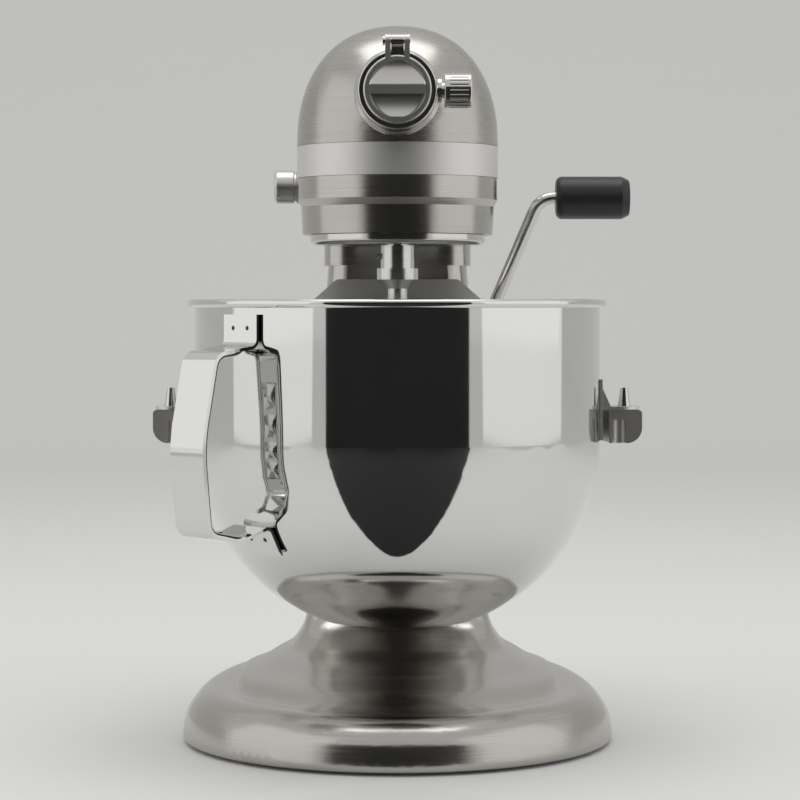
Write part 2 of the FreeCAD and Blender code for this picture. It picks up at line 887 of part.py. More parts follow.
def worm_thread():
    """One right-handed thread about +Z, which starts at x = worm_radius."""
    module = value("gear_module")
    pitch = math.pi * module
    radius = value("worm_radius")
    turns = 2 * value("worm_turns_half")
    slope = math.tan(math.radians(value("gear_pressure")))
    root = radius - module * value("tooth_dedendum") - module * 0.2
    tip = radius + module * value("tooth_addendum")
    half = pitch / 4 - value("gear_backlash") / 2
    root_half = half + slope * (radius - root)
    tip_half = half - slope * (tip - radius)
    profile = Part.makePolygon([VEC(root, 0, -root_half), VEC(tip, 0, -tip_half), VEC(tip, 0, tip_half),
                                VEC(root, 0, root_half), VEC(root, 0, -root_half)])
    helix = Part.makeHelix(pitch, pitch * turns, radius)
    sweep = Part.BRepOffsetAPI.MakePipeShell(Part.Wire(helix))
    sweep.setFrenetMode(True)
    sweep.add(profile)
    sweep.build()
    sweep.makeSolid()
    return sweep.shape()


def bevel_gear(phase):
    """A mitre gear about +Z with its apex at the origin and its teeth below it."""
    pitch = value(BEVEL_PITCH)
    module = value("gear_module")
    inner = 1 - value("bevel_face") * 0.5
    wires = [gear_wire(value("bevel_teeth"), pitch, module * value("bevel_addendum"),
                       module * value("bevel_dedendum"),
                       value("bevel_pressure"), value("gear_backlash"), phase, -pitch * scale, scale)
             for scale in (1.0, inner)]
    return Part.makeLoft(wires, True, True)


# Pedestal, feet and cord gland

def foot_places():
    places = [("0", "foot_front_y")]
    for side in ("-", ""):
        places.append((f"{side}foot_side_x", "foot_side_y"))
        places.append((f"{side}foot_rear_x", "foot_rear_y"))
    return places


def make_feet():
    feet = []
    for x, y in foot_places():
        pad = rod("foot_pad", "foot_radius", "foot_height", start=(x, y, "0"))
        stem = rod("foot_stem", "foot_stem_radius - press_gap", "foot_stem_depth",
                   start=(x, y, "foot_height"))
        feet.append(fuse("foot", pad, stem))
    sub_part(group("feet", feet), "rubber_feet")


def screw_places():
    return [(f"{side}head_screw_x", y) for side in ("-", "") for y in ("head_screw_front_y",
                                                                       "head_screw_rear_y")]


def make_pedestal():
    """One casting: base and column, hollow below, with the slideway and slot for the bowl support."""
    solid = fuse("pedestal_solid", shaped("base_form", base_form()), shaped("column_form", column_form()))
    under = Part.Face(ring_wire(base_points(value("base_wall"), 0))).extrude(VEC(0, 0,
                                                                                 value("base_cavity_top")))
    bosses = [rod("foot_boss", "foot_boss_radius", "base_cavity_top", start=(x, y, "0")) for x,
              y in foot_places()]
    cavity = cut("base_cavity", shaped("base_hollow", under), *bosses)
    hollow = shaped("column_hollow", column_form(value("column_wall + slideway_depth"),
                                                 "base_cavity_top - cut_past",
                                                 "column_top - column_wall"))
    slideway = box("slideway", ("-slideway_half", "slideway_half"),
                   ("column_front - slideway_past", "column_front"),
                   ("slideway_low", "column_top + cut_past"))
    inner_way = box("inner_way", ("-keeper_half - keeper_side_gap", "keeper_half + keeper_side_gap"),
                    ("column_front + column_wall", "column_front + column_wall + inner_way_depth"),
                    ("tongue_low - lift_travel - inner_way_end_gap", "tongue_high + inner_way_end_gap"))
    slot = box("tongue_slot", ("-tongue_half - clearance", "tongue_half + clearance"),
               ("column_front - slideway_past", "column_front + column_wall + cut_past"),
               ("tongue_low - lift_travel - cut_past", "tongue_high + cut_past"))
    bores = [rod("lever_bore", "lever_bush_radius", "column_half_low", "x", ("0", "lever_y", "lever_z")),
             rod("grommet_bore_cut", "grommet_radius", "column_wall * 6", "y",
                 ("0", "column_rear - column_wall * 4", "grommet_z"))]
    for x, y in screw_places():
        bores.append(rod("head_screw_bore", "screw_radius + press_gap", "column_wall * 2",
                         start=(x, y, "column_top - column_wall * 2")))
    for x, y in foot_places():
        bores.append(rod("foot_bore", "foot_stem_radius", "foot_stem_depth + foot_height",
                         start=(x, y, "0")))
    sub_part(cut("pedestal", solid, cavity, hollow, slideway, inner_way, slot, *bores), "pedestal")


def make_grommet():
    wall_out = "column_rear"
    wall_in = "column_rear - column_wall - slideway_depth"
    profile = [("grommet_bore", f"{wall_in} - grommet_lip"),
               ("grommet_radius + grommet_lip", f"{wall_in} - grommet_lip"),
               ("grommet_radius + grommet_lip", f"{wall_in} - seam"),
               ("grommet_radius - press_gap", f"{wall_in} - seam"),
               ("grommet_radius - press_gap", f"{wall_out} + seam"),
               ("grommet_radius + grommet_lip", f"{wall_out} + seam"),
               ("grommet_radius + grommet_lip - grommet_flare", f"{wall_out} + grommet_lip"),
               ("grommet_bore", f"{wall_out} + grommet_lip")]
    sub_part(turned("grommet", "XY_Plane", "V_Axis", profile), "cord_grommet", ("0", "0", "grommet_z"))


# Head: lower housing, cover, band and rear cover

def make_lower_housing():
    step = [("step_inset + step_taper", "housing_bottom"), ("step_inset", "housing_step")]
    skirt = [("step_inset", "housing_step"), ("housing_inset", "housing_step + housing_ogee"),
             ("housing_inset", "band_bottom")]
    tongue = [("band_thickness", "band_bottom"), ("band_thickness", "band_top")]
    neck = shaped("neck_form", neck_form())
    solid = fuse("housing_solid", shaped("housing_step_form", head_stack(step)),
                 shaped("housing_skirt", head_stack(skirt)),
                 shaped("housing_tongue", head_stack(tongue)), neck)
    inner = "band_thickness + head_wall"
    upper = shaped("housing_cavity", head_stack([(inner, WEB_TOP), (inner, "band_top + cut_past")]))
    rear_inner = f"{inner} + rear_cavity_inset"
    rear_levels = [(rear_inner, "housing_bottom + housing_floor"), (rear_inner, f"{WEB_TOP} + cut_past")]
    rear_span = box("housing_rear_span", ("-head_radius", "head_radius"),
                    ("head_radius + rear_cavity_gap", "rear_split_y"), ("housing_bottom", "band_top"))
    rear = common("housing_rear_cavity", shaped("housing_rear_form", head_stack(rear_levels)), rear_span)
    ring_bore = rod("ring_bore", f"{RING_OUTER} + press_gap", "gear_web_bottom - housing_bottom + cut_past",
                    start=("0", "0", "housing_bottom - cut_past"))
    centre_bore = rod("centre_bush_bore", "centre_shaft_radius + bush_wall + press_gap", "gear_web * 3",
                      start=("0", "0", "gear_web_bottom - cut_past"))
    wheel_bore = rod("wheel_bush_bore", "wheel_shaft_radius + bush_wall + press_gap", "gear_web * 3",
                     start=(WHEEL_X, WHEEL_Y, "gear_web_bottom"))
    slot = box("speed_slot", ("-head_radius - speed_slot_out", "-head_radius + speed_slot_in"),
               ("speed_y - speed_stem_radius - clearance",
                "speed_y + speed_travel + speed_stem_radius + clearance"),
               ("speed_z - speed_stem_radius - clearance", "speed_z + speed_stem_radius + clearance"))
    screws = [rod("neck_screw_bore", "screw_radius + press_gap", "head_screw_reach + cut_past * 2",
                  start=(x, y, "column_top - cut_past"))
              for x, y in screw_places()]
    hollowed = cut("housing_hollowed", solid, upper, rear, ring_bore, centre_bore, wheel_bore, slot,
                   rear_half("housing_split"), *screws)
    sub_part(fuse("lower_housing", hollowed, *cradles(), board_rail()), "lower_housing")


def cradles():
    """Two saddles that carry the motor case, rising from the housing's floor."""
    saddles = []
    for y in ("cradle_front_y", "cradle_rear_y"):
        block = box("cradle_block", ("-cradle_half", "cradle_half"), (y, f"{y} + cradle_thickness"),
                    ("housing_bottom + housing_floor - cut_past", "motor_z - motor_radius / 2"))
        seat = rod("cradle_round", "motor_radius + press_gap", "motor_length", "y",
                   ("0", "motor_front", "motor_z"))
        saddles.append(cut("cradle", block, seat))
    return saddles


def board_rail():
    rail = box("rail_block", ("board_x - rail_near", "board_x + rail_far"),
               ("board_start - rail_end", "board_start + board_length + rail_end"),
               ("housing_bottom + housing_floor", "housing_bottom + housing_floor + board_rail"))
    groove = box("rail_groove", ("board_x - press_gap", "board_x + board_thickness + press_gap"),
                 ("board_start - press_gap", "board_start + board_length + press_gap"),
                 ("housing_bottom + housing_floor + board_stand", "board_top"))
    return cut("board_rail", rail, groove)


def rear_half(name):
    """Everything behind the plane where the rear cover starts."""
    return box(name, ("-head_radius * 2", "head_radius * 2"),
               ("rear_split_y", "rear_split_y + head_radius * 2"),
               ("housing_bottom - split_past", "head_top + split_past"))


def make_upper_cover():
    outer = shaped("dome_outer", dome_form(0.0, "band_top + seam"))
    inner = shaped("dome_inner", dome_form(value("head_wall"), "band_top + seam"))
    hub_hole = rod("hub_hole", "hub_root_radius + press_gap", "head_radius * 2", "y",
                   ("0", "-head_radius * 2", "hub_z"))
    sub_part(cut("upper_cover", outer, inner, hub_hole, rear_half("dome_split")), "upper_cover")


def make_band():
    ring = cut("band_ring", shaped("band_outer", head_stack([("0", "band_bottom + seam"),
                                                             ("0", "band_top")])),
               shaped("band_inner", head_stack([("band_thickness - press_gap", "band_bottom"),
                                                ("band_thickness - press_gap", "band_top + cut_past")])))
    slot = box("band_slot", ("-head_radius - speed_slot_out", "-head_radius + speed_slot_in"),
               ("speed_y - speed_stem_radius - clearance",
                "speed_y + speed_travel + speed_stem_radius + clearance"),
               ("speed_z - speed_stem_radius - clearance", "speed_z + speed_stem_radius + clearance"))
    sub_part(cut("trim_band", ring, slot, rear_half("band_split")), "trim_band")


def make_rear_cover():
    """The domed end of the head, hollow, behind the split."""
    inset = "band_thickness + head_wall"
    side = shaped("rear_side", head_stack([("step_inset + step_taper", "housing_bottom"),
                                           ("step_inset", "housing_step"),
                                           ("housing_inset", "housing_step + housing_ogee"),
                                           ("0", "band_top")]))
    solid = fuse("rear_solid", side, shaped("rear_dome", dome_form(0.0, "band_top")))
    hollow = fuse("rear_hollow", shaped("rear_hollow_side", head_stack([(inset,
                                                                         "housing_bottom + housing_floor"),
                                                                       (inset, "band_top")])),
                  shaped("rear_hollow_dome", dome_form(value(inset), "band_top")))
    keep = box("rear_keep", ("-head_radius * 2", "head_radius * 2"),
               ("rear_split_y + seam", "rear_split_y + head_radius * 2"),
               ("housing_bottom - split_past", "head_top + split_past"))
    bore = rod("rear_screw_bore", "screw_radius + press_gap", "head_radius * 2", "y",
               ("0", "rear_split_y", "rear_screw_z"))
    sub_part(cut("rear_cover", common("rear_end", solid, keep), hollow, bore), "rear_cover")


def make_screws():
    screws = []
    for x, y in screw_places():
        head = rod("screw_head", "screw_head_radius", "screw_head_height",
                   start=(x, y, "column_top - column_wall - screw_head_height"))
        shank = rod("screw_shank", "screw_radius", "column_wall + head_screw_reach",
                    start=(x, y, "column_top - column_wall"))
        screws.append(fuse("head_screw", head, shank))
    sub_part(group("head_screw_set", screws), "head_screws")
    stern = "head_tail_y + head_tail_radius"
    head = rod("rear_screw_head", "screw_head_radius", "screw_head_height / 2", "y",
               ("0", f"{stern} + seam", "rear_screw_z"))
    shank = rod("rear_screw_shank", "screw_radius", f"{stern} + seam - rear_split_y", "y",
                ("0", "rear_split_y", "rear_screw_z"))
    sub_part(fuse("rear_screw", head, shank), "rear_cover_screw")


# Gear train

def make_ring_gear():
    blank = rod("ring_blank", RING_OUTER, "ring_gear_height", start=("0", "0", "ring_gear_bottom"))
    teeth = shaped("ring_spaces", Part.Face(ring_space_wire()).extrude(VEC(0, 0,
                                                                           value("ring_gear_height * 3"))))
    bind(teeth, "Placement.Base.z", "ring_gear_bottom - ring_gear_height")
    sub_part(cut("ring_gear", blank, teeth), "ring_gear")


def ring_space_wire():
    """The spaces between the ring's teeth: a gear's outline, with long tips and wider by the backlash."""
    module = value("gear_module")
    return gear_wire(value("ring_teeth"), value(RING_PITCH), module * value("tooth_dedendum"),
                     module * value("tooth_addendum"), value("gear_pressure"), 0.0, -90)


def mesh_angle():
    """The direction from the drive pinion to the centre gear, in degrees."""
    return math.degrees(math.atan2(-value(WHEEL_Y), -value(WHEEL_X)))


def make_centre_gears():
    half_tooth = 180 / value("centre_teeth")
    gear = shaped("centre_teeth_form", spur_gear("centre_teeth", mesh_angle() + 180 + half_tooth,
                                                 "centre_gear_height"))
    bind(gear, "Placement.Base.z", "centre_gear_bottom")
    bore = rod("centre_gear_bore", "centre_shaft_radius + run_gap", "centre_gear_height * 3",
               start=("0", "0", "centre_gear_bottom - centre_gear_height"))
    sub_part(cut("centre_gear", gear, bore), "centre_gear")
    sub_part(rod("centre_shaft", "centre_shaft_radius",
                 f"hub_z - {BEVEL_PITCH} * bevel_face - planet_disc_bottom - planet_floor"),
             "centre_shaft", ("0", "0", "planet_disc_bottom + planet_floor"))


def make_wheel_set():
    wheel = shaped("wheel_teeth_form", worm_wheel_form())
    bind(wheel, "Placement.Base.z", "motor_z")
    hub = rod("wheel_hub", "wheel_hub_radius", "wheel_hub_height",
              start=("0", "0", "motor_z - wheel_hub_height / 2"))
    bore = rod("wheel_bore", "wheel_shaft_radius + run_gap", "wheel_hub_height * 2",
               start=("0", "0", "motor_z - wheel_hub_height"))
    sub_part(cut("worm_wheel", fuse("wheel_solid", wheel, hub), bore), "worm_wheel",
             (WHEEL_X, WHEEL_Y, "0"))
    teeth = shaped("pinion_form", spur_gear("pinion_teeth", mesh_angle(), "pinion_height"))
    bind(teeth, "Placement.Base.z", "centre_gear_bottom - (pinion_height - centre_gear_height) / 2")
    shaft = rod("pinion_shaft", "wheel_shaft_radius", f"{BRACKET_TOP} - gear_web_bottom - 2 * clearance",
                start=("0", "0", "gear_web_bottom + clearance"))
    sub_part(fuse("drive_pinion", teeth, shaft), "drive_pinion", (WHEEL_X, WHEEL_Y, "0"))


def make_gear_bracket():
    plate = rod("bracket_disc", "bracket_radius", "bracket_plate", start=("0", "0", "bracket_bottom"))
    lobe = rod("bracket_lobe", "wheel_shaft_radius + bush_wall * 1.6", "bracket_plate",
               start=(WHEEL_X, WHEEL_Y, "bracket_bottom"))
    posts = []
    for angle in ("post_angle_right", "post_angle_rear", "post_angle_left"):
        posts.append(rod("bracket_post", "bracket_post_radius", f"bracket_bottom - ({WEB_TOP}) + cut_past",
                         start=(f"bracket_post_reach * cos({angle})", f"bracket_post_reach * sin({angle})",
                                WEB_TOP)))
    centre = rod("bracket_centre_bore", "centre_shaft_radius + bush_wall + press_gap", "bracket_plate * 3",
                 start=("0", "0", "bracket_bottom - bracket_plate"))
    wheel = rod("bracket_wheel_bore", "wheel_shaft_radius + bush_wall + press_gap", "bracket_plate * 3",
                start=(WHEEL_X, WHEEL_Y, "bracket_bottom - bracket_plate"))
    hub_end = box("bracket_hub_end", ("-bracket_radius", "bracket_radius"),
                  ("-bracket_radius - cut_past", "-(hub_front - hub_bore_depth - hub_rear_wall) + cut_past"),
                  ("bracket_bottom - cut_past", f"{BRACKET_TOP} + cut_past"))
    solid = fuse("bracket_solid", plate, lobe, *posts)
    sub_part(cut("bracket", solid, centre, wheel, hub_end), "gear_bracket")


def make_bushes():
    bushes = []
    for x, y, radius in (("0", "0", "centre_shaft_radius"), (WHEEL_X, WHEEL_Y, "wheel_shaft_radius")):
        for z, length in (("gear_web_bottom + seam", "bush_lower_height"),
                          ("bracket_bottom - seam", "bush_upper_height")):
            bushes.append(tube("gear_bush", f"{radius} + bush_wall", f"{radius} + run_gap", length,
                               start=(x, y, z)))
    sub_part(group("bush_set", bushes), "gear_bushes")


def make_bevels():
    drive = shaped("drive_bevel_teeth", bevel_gear(-90))
    bind(drive, "Placement.Base.z", "hub_z")
    back = rod("drive_bevel_back", "bevel_hub_radius",
               f"hub_z - {BEVEL_PITCH} - ({BRACKET_TOP}) - clearance - seam * 2",
               start=("0", "0", f"{BRACKET_TOP} + clearance + seam * 2"))
    bore = rod("drive_bevel_bore", "centre_shaft_radius + run_gap", "hub_z", start=("0", "0", "0"))
    sub_part(cut("drive_bevel", fuse("drive_bevel_solid", drive, back), bore), "drive_bevel")
    half_tooth = 180 / value("bevel_teeth")
    follower = bevel_gear(90 + half_tooth)
    follower.rotate(VEC(), VEC(1, 0, 0), -90)
    teeth = shaped("follower_teeth", follower)
    bore = rod("follower_bore", "drive_stem_radius + run_gap", "hub_front", "y", ("0", "-hub_front", "0"))
    sub_part(cut("attachment_bevel", teeth, bore), "attachment_bevel", ("0", "0", "hub_z"))


def make_attachment_shaft():
    """The driven shaft in the hub's rear wall, with a square socket for accessories."""
    front = "-(hub_front - hub_bore_depth - clearance)"
    back = "-(hub_front - hub_bore_depth - hub_rear_wall - clearance)"
    head = rod("drive_head", "drive_shaft_radius - run_gap", f"{back} - ({front})", "y",
               ("0", front, "hub_z"))
    stem = rod("drive_stem", "drive_stem_radius", f"-{BEVEL_PITCH} * bevel_face - ({back})", "y",
               ("0", back, "hub_z"))
    shoulder = rod("drive_shoulder", "bevel_hub_radius", f"-{BEVEL_PITCH} - clearance - ({back})", "y",
                   ("0", back, "hub_z"))
    square = box("drive_socket", ("-drive_square / 2", "drive_square / 2"),
                 (f"{front} - cut_past", f"{front} + drive_square_depth"),
                 ("hub_z - drive_square / 2", "hub_z + drive_square / 2"))
    sub_part(cut("attachment_shaft", fuse("drive_solid", head, shoulder, stem), square), "attachment_shaft")


# Planetary, beater and dough hook

def make_planetary():
    disc = rod("planet_disc", "planet_disc_radius", "planet_disc_height",
               start=("0", "0", "planet_disc_bottom"))
    boss = rod("planet_boss", "planet_boss_radius", "gear_web_bottom - clearance - planet_disc_bottom",
               start=("0", "0", "planet_disc_bottom"))
    beater_boss = rod("beater_boss", "beater_boss_radius", "beater_boss_top - planet_disc_bottom",
                      start=("0", f"-({BEATER_OFFSET})", "planet_disc_bottom"))
    shaft_bore = rod("planet_shaft_bore", "centre_shaft_radius + run_gap", "planet_disc_height * 9",
                     start=("0", "0", "planet_disc_bottom + planet_floor - run_gap"))
    beater_bore = rod("planet_beater_bore", "beater_radius + beater_bush_wall + press_gap",
                      "planet_disc_height * 9",
                      start=("0", f"-({BEATER_OFFSET})", "planet_disc_bottom - planet_disc_height"))
    sub_part(cut("planetary_hub", fuse("planet_solid", disc, boss, beater_boss), shaft_bore, beater_bore),
             "planetary_hub")
    sub_part(tube("beater_bush", "beater_radius + beater_bush_wall", "beater_radius + run_gap",
                  "beater_boss_top - planet_disc_bottom",
                  start=("0", f"-({BEATER_OFFSET})", "planet_disc_bottom")),
             "beater_bush")
    inner = "planet_disc_radius + press_gap"
    top = "housing_bottom - clearance"
    profile = [(inner, "planet_disc_bottom"), ("drip_ring_radius", "planet_disc_bottom", "drip_ring_round"),
               ("drip_ring_radius", top), (inner, top)]
    sub_part(turned("drip_ring", "XZ_Plane", "V_Axis", profile), "drip_ring")


def make_beater():
    at = ("0", f"-({BEATER_OFFSET})", "0")
    shaft = rod("beater_bar", "beater_radius", "gear_web_bottom - clearance - beater_bottom",
                start=("0", "0", "beater_bottom"))
    pin_bore = rod("beater_pin_bore", "beater_pin_radius + press_gap", "beater_radius * 4", "x",
                   ("-beater_radius * 2", "0", "beater_pin_z"))
    sub_part(cut("beater_drilled", shaft, pin_bore), "beater_shaft", at)
    teeth = shaped("planet_form", spur_gear("planet_teeth", -90, "planet_height"))
    bore = rod("planet_bore", "beater_radius + run_gap", "planet_height")
    sub_part(cut("planet_gear", teeth, bore), "planet_pinion",
             ("0", at[1], "ring_gear_bottom + (ring_gear_height - planet_height) / 2"))
    sub_part(rod("beater_cross_pin", "beater_pin_radius", "beater_pin_left + beater_pin_right", "x"),
             "beater_pin", ("-beater_pin_left", at[1], "beater_pin_z"))


def smooth(part):
    """Rises from 0 to 1 with level ends."""
    part = max(0.0, min(1.0, part))
    return part * part * (3 - 2 * part)


def hook_points():
    """The bar's line: down the stem, out to the spiral's radius, then down and in to the tip."""
    top, low = value("hook_bend_top"), value("hook_low")
    neck = value("hook_neck_low")
    points = [VEC(0, 0, neck + value("hook_neck_sink")), VEC(0, 0, neck - value("hook_neck_run")),
              VEC(0, 0, (neck + top) / 2)]
    steps = 16
    widest = 0.42
    drawn_in = 0.6
    for step in range(steps + 1):
        part = step / steps
        radius = value("hook_spiral_radius") * smooth(part / widest)
        radius *= 1 - drawn_in * smooth((part - widest) / (1 - widest))
        angle = math.radians(-90 - 360 * value("hook_turns") * part)
        points.append(VEC(radius * math.cos(angle), radius * math.sin(angle), top - (top - low) * part))
    return points


def make_hook():
    """The spiral bar under a collar and a slotted hub that hangs on the beater shaft's pin."""
    points = hook_points()
    curve = Part.BSplineCurve()
    curve.interpolate(points)
    ring = Part.Wire(Part.Circle(points[0], VEC(0, 0, 1), value("hook_stem_radius")).toShape())
    bar = shaped("hook_bar", Part.Wire(curve.toShape()).makePipeShell([ring], True, False))
    tip = shaped("hook_tip", Part.makeSphere(value("hook_tip_radius"), points[-1]))
    bore = "beater_radius + press_gap"
    profile = [("0", "hook_neck_low"), ("hook_neck_radius", "hook_neck_low"),
               ("hook_neck_flare", "hook_collar_low"), ("hook_collar_radius", "hook_collar_low"),
               ("hook_collar_radius", "hook_collar_high"), ("hook_hub_radius", "hook_collar_high"),
               ("hook_hub_radius", "hook_hub_top"), (bore, "hook_hub_top"),
               (bore, "beater_bottom - clearance"), ("0", "beater_bottom - clearance")]
    hub = turned("hook_hub", "XZ_Plane", "V_Axis", profile)
    slot_half = "beater_pin_radius + clearance"
    slot = box("hook_slot", ("-hook_hub_radius - cut_past", "hook_hub_radius + cut_past"),
               (f"-({slot_half})", slot_half),
               (f"beater_pin_z - ({slot_half})", "hook_hub_top + cut_past"))
    sub_part(cut("hook", fuse("hook_solid", hub, bar, tip), slot), "dough_hook",
             ("0", f"-({BEATER_OFFSET})", "0"))


# Motor

def make_motor_case():
    inner = "motor_radius - motor_case_wall"
    sub_part(tube("motor_case", "motor_radius", inner, "motor_length", "y",
                  ("0", "motor_front", "motor_z")), "motor_case")
    bells = []
    for y, boss_y in (("motor_front - bell_thickness", "motor_front - bell_thickness - bell_boss_length"),
                      (MOTOR_END, MOTOR_END)):
        disc = rod("bell_disc", "motor_radius", "bell_thickness", "y", ("0", y, "motor_z"))
        boss = rod("bell_boss", "bell_boss_radius", "bell_thickness + bell_boss_length", "y",
                   ("0", boss_y, "motor_z"))
        bore = rod("bell_bore", "bearing_radius + run_gap", "motor_length", "y",
                   ("0", f"{y} - motor_length / 2", "motor_z"))
        bells.append(cut("end_bell", fuse("bell_solid", disc, boss), bore))
    sub_part(group("bell_pair", bells), "motor_end_bells")
    bearings = []
    for y in ("motor_front - bell_thickness - bell_boss_length / 2",
              f"{MOTOR_END} + bell_boss_length / 2 - bell_thickness / 2"):
        bearings.append(tube("motor_bearing", "bearing_radius", "motor_shaft_radius + run_gap",
                             "bearing_width", "y",
                             ("0", y, "motor_z")))
    sub_part(group("bearing_pair", bearings), "motor_bearings")


def make_magnets():
    outer = "motor_radius - motor_case_wall - press_gap"
    length = "core_length + 2 * magnet_margin"
    start = ("0", "core_start - magnet_margin", "motor_z")
    ring = tube("magnet_ring", outer, "core_radius + air_gap", length, "y", start)
    gap = box("magnet_gap", ("-magnet_gap_half", "magnet_gap_half"),
              ("core_start - magnet_margin - cut_past", f"core_start + {length}"),
              ("motor_z - motor_radius", "motor_z + motor_radius"))
    sub_part(cut("field_magnets", ring, gap), "field_magnets")


def make_rotor():
    length = f"{MOTOR_END} + bell_boss_length + bell_thickness - motor_shaft_front"
    shaft = rod("shaft_bar", "motor_shaft_radius", length, "y", ("0", "motor_shaft_front", "motor_z"))
    thread = worm_thread()
    pitch = math.pi * value("gear_module")
    start = value(WHEEL_Y) - value("worm_turns_half") * pitch
    core_root = value("worm_radius - gear_module * tooth_dedendum")
    core = Part.makeCylinder(core_root, pitch * (2 * value("worm_turns_half") + 2), VEC(0, 0, -pitch))
    worm = thread.fuse(core)
    worm.rotate(VEC(), VEC(1, 0, 0), -90)
    worm.translate(VEC(0, start, value("motor_z")))
    sub_part(fuse("motor_shaft", shaft, shaped("worm_form", worm)), "motor_shaft")
    bore = rod("core_bore", "motor_shaft_radius + run_gap", "motor_length", "y",
               ("0", "motor_front", "motor_z"))
    drum = rod("core_drum", "core_radius", "core_length", "y", ("0", "core_start", "motor_z"))
    slots = []
    for step in range(int(value("core_slots"))):
        angle = 360 * step / value("core_slots")
        slot = Part.makeBox(value("core_slot_width"), value("core_length + 2"),
                            value("core_slot_depth + cut_past"),
                            VEC(-value("core_slot_width") / 2, value("core_start - cut_past"),
                                value("core_radius - core_slot_depth")))
        slot.rotate(VEC(), VEC(0, 1, 0), angle)
        slots.append(slot)
    slot_set = shaped("core_slot_set", Part.makeCompound(slots))
    bind(slot_set, "Placement.Base.z", "motor_z")
    sub_part(cut("armature_core", drum, slot_set, bore), "armature_core")
    sub_part(tube("commutator", "commutator_radius", "motor_shaft_radius + run_gap", "commutator_length",
                  "y",
                  ("0", "commutator_start", "motor_z")), "commutator")
    make_fan()


def make_fan():
    hub = rod("fan_hub", "fan_hub_radius", "fan_width", "y", ("0", "fan_start", "motor_z"))
    disc = rod("fan_disc", "fan_radius", "fan_blade", "y", ("0", "fan_start", "motor_z"))
    blades = []
    for step in range(int(value("fan_blades"))):
        blade = Part.makeBox(value("fan_blade"), value("fan_width"), value("fan_radius - fan_hub_radius"),
                             VEC(-value("fan_blade") / 2, value("fan_start"), value("fan_hub_radius") - 1))
        blade.rotate(VEC(), VEC(0, 1, 0), 360 * step / value("fan_blades"))
        blades.append(blade)
    blade_set = shaped("fan_blade_set", Part.makeCompound(blades))
    bind(blade_set, "Placement.Base.z", "motor_z")
    bore = rod("fan_bore", "motor_shaft_radius + run_gap", "motor_length", "y",
               ("0", "motor_front", "motor_z"))
    sub_part(cut("cooling_fan", fuse("fan_solid", hub, disc, blade_set), bore), "cooling_fan")


def make_brushes():
    """A square tube on each side of the commutator, held in the case, with its brush inside."""
    case_inner = "motor_radius - motor_case_wall - brush_case_gap"
    middle = "commutator_start + commutator_length / 2"
    holders = []
    brushes = []
    for side in ("-", ""):
        span = (f"{side}(commutator_radius + brush_holder_gap)", f"{side}({case_inner})")
        brush_span = (f"{side}(commutator_radius + clearance)", f"{side}({case_inner} - brush_spring_room)")
        if side:
            span, brush_span = span[::-1], brush_span[::-1]
        outer_half = "brush_side / 2 + brush_wall"
        holder = box("brush_tube", span, (f"{middle} - ({outer_half})", f"{middle} + {outer_half}"),
                     (f"motor_z - ({outer_half})", f"motor_z + {outer_half}"))
        hole = "brush_side / 2 + press_gap"
        bore = box("brush_hole", ("-motor_radius", "motor_radius"),
                   (f"{middle} - ({hole})", f"{middle} + {hole}"),
                   (f"motor_z - ({hole})", f"motor_z + {hole}"))
        holders.append(cut("brush_holder", holder, bore))
        brushes.append(box("carbon_brush", brush_span,
                           (f"{middle} - brush_side / 2", f"{middle} + brush_side / 2"),
                           ("motor_z - brush_side / 2", "motor_z + brush_side / 2")))
    sub_part(group("holder_pair", holders), "brush_holders")
    sub_part(group("brush_pair", brushes), "carbon_brushes")


# Speed control

def make_control_board():
    plate = box("board_plate", ("board_x", "board_x + board_thickness"),
                ("board_start", "board_start + board_length"),
                ("housing_bottom + housing_floor + board_stand + press_gap", "board_top"))
    parts = [plate]
    count = int(value("board_parts"))
    for step in range(count):
        parts.append(box("board_part", ("board_x - board_part_depth / 2", "board_x + cut_past"),
                         (f"board_start + board_length * {step} / {count} + board_part_gap",
                          f"board_start + board_length * ({step} + 1) / {count} - board_part_gap"),
                         ("board_top - board_part_low", "board_top - board_part_gap")))
    sub_part(fuse("control_board", *parts), "control_board")


def make_speed_control():
    """The knob outside the housing and the slider inside it, joined by the knob's stem."""
    wall_out = "head_radius - (head_radius - head_tail_radius) * speed_y / head_tail_y"
    root = f"-({wall_out} + speed_knob_gap)"
    tip = f"{root} - speed_knob_length"
    near = f"{root} - speed_knob_collar"
    far = f"{near} - speed_groove_floor - speed_groove_slope * 2"
    profile = [(root, "0"), (root, "speed_knob_radius - speed_knob_chamfer"),
               (f"{root} - speed_knob_chamfer", "speed_knob_radius"), (near, "speed_knob_radius"),
               (f"{near} - speed_groove_slope", "speed_knob_radius - speed_knob_groove"),
               (f"{far} + speed_groove_slope", "speed_knob_radius - speed_knob_groove"),
               (far, "speed_knob_radius"),
               (tip, "speed_knob_radius", "speed_knob_round"), (tip, "0")]
    sub_part(turned("speed_knob", "XY_Plane", "H_Axis", profile), "speed_knob", ("0", "speed_y", "speed_z"))
    inner = f"-({wall_out} - band_thickness - head_wall - clearance * 3 - housing_inset)"
    stem = rod("speed_stem", "speed_stem_radius", f"{inner} + speed_stem_sink - ({root})", "x",
               (root, "speed_y", "speed_z"))
    plate = box("speed_plate", (inner, f"{inner} + speed_slider_depth"),
                ("speed_y - speed_slider_half", "speed_y + speed_slider_half"),
                ("speed_z - speed_slider_half / 2", "speed_z + speed_slider_half / 2"))
    sub_part(fuse("speed_slider", stem, plate), "speed_slider")


# Attachment hub

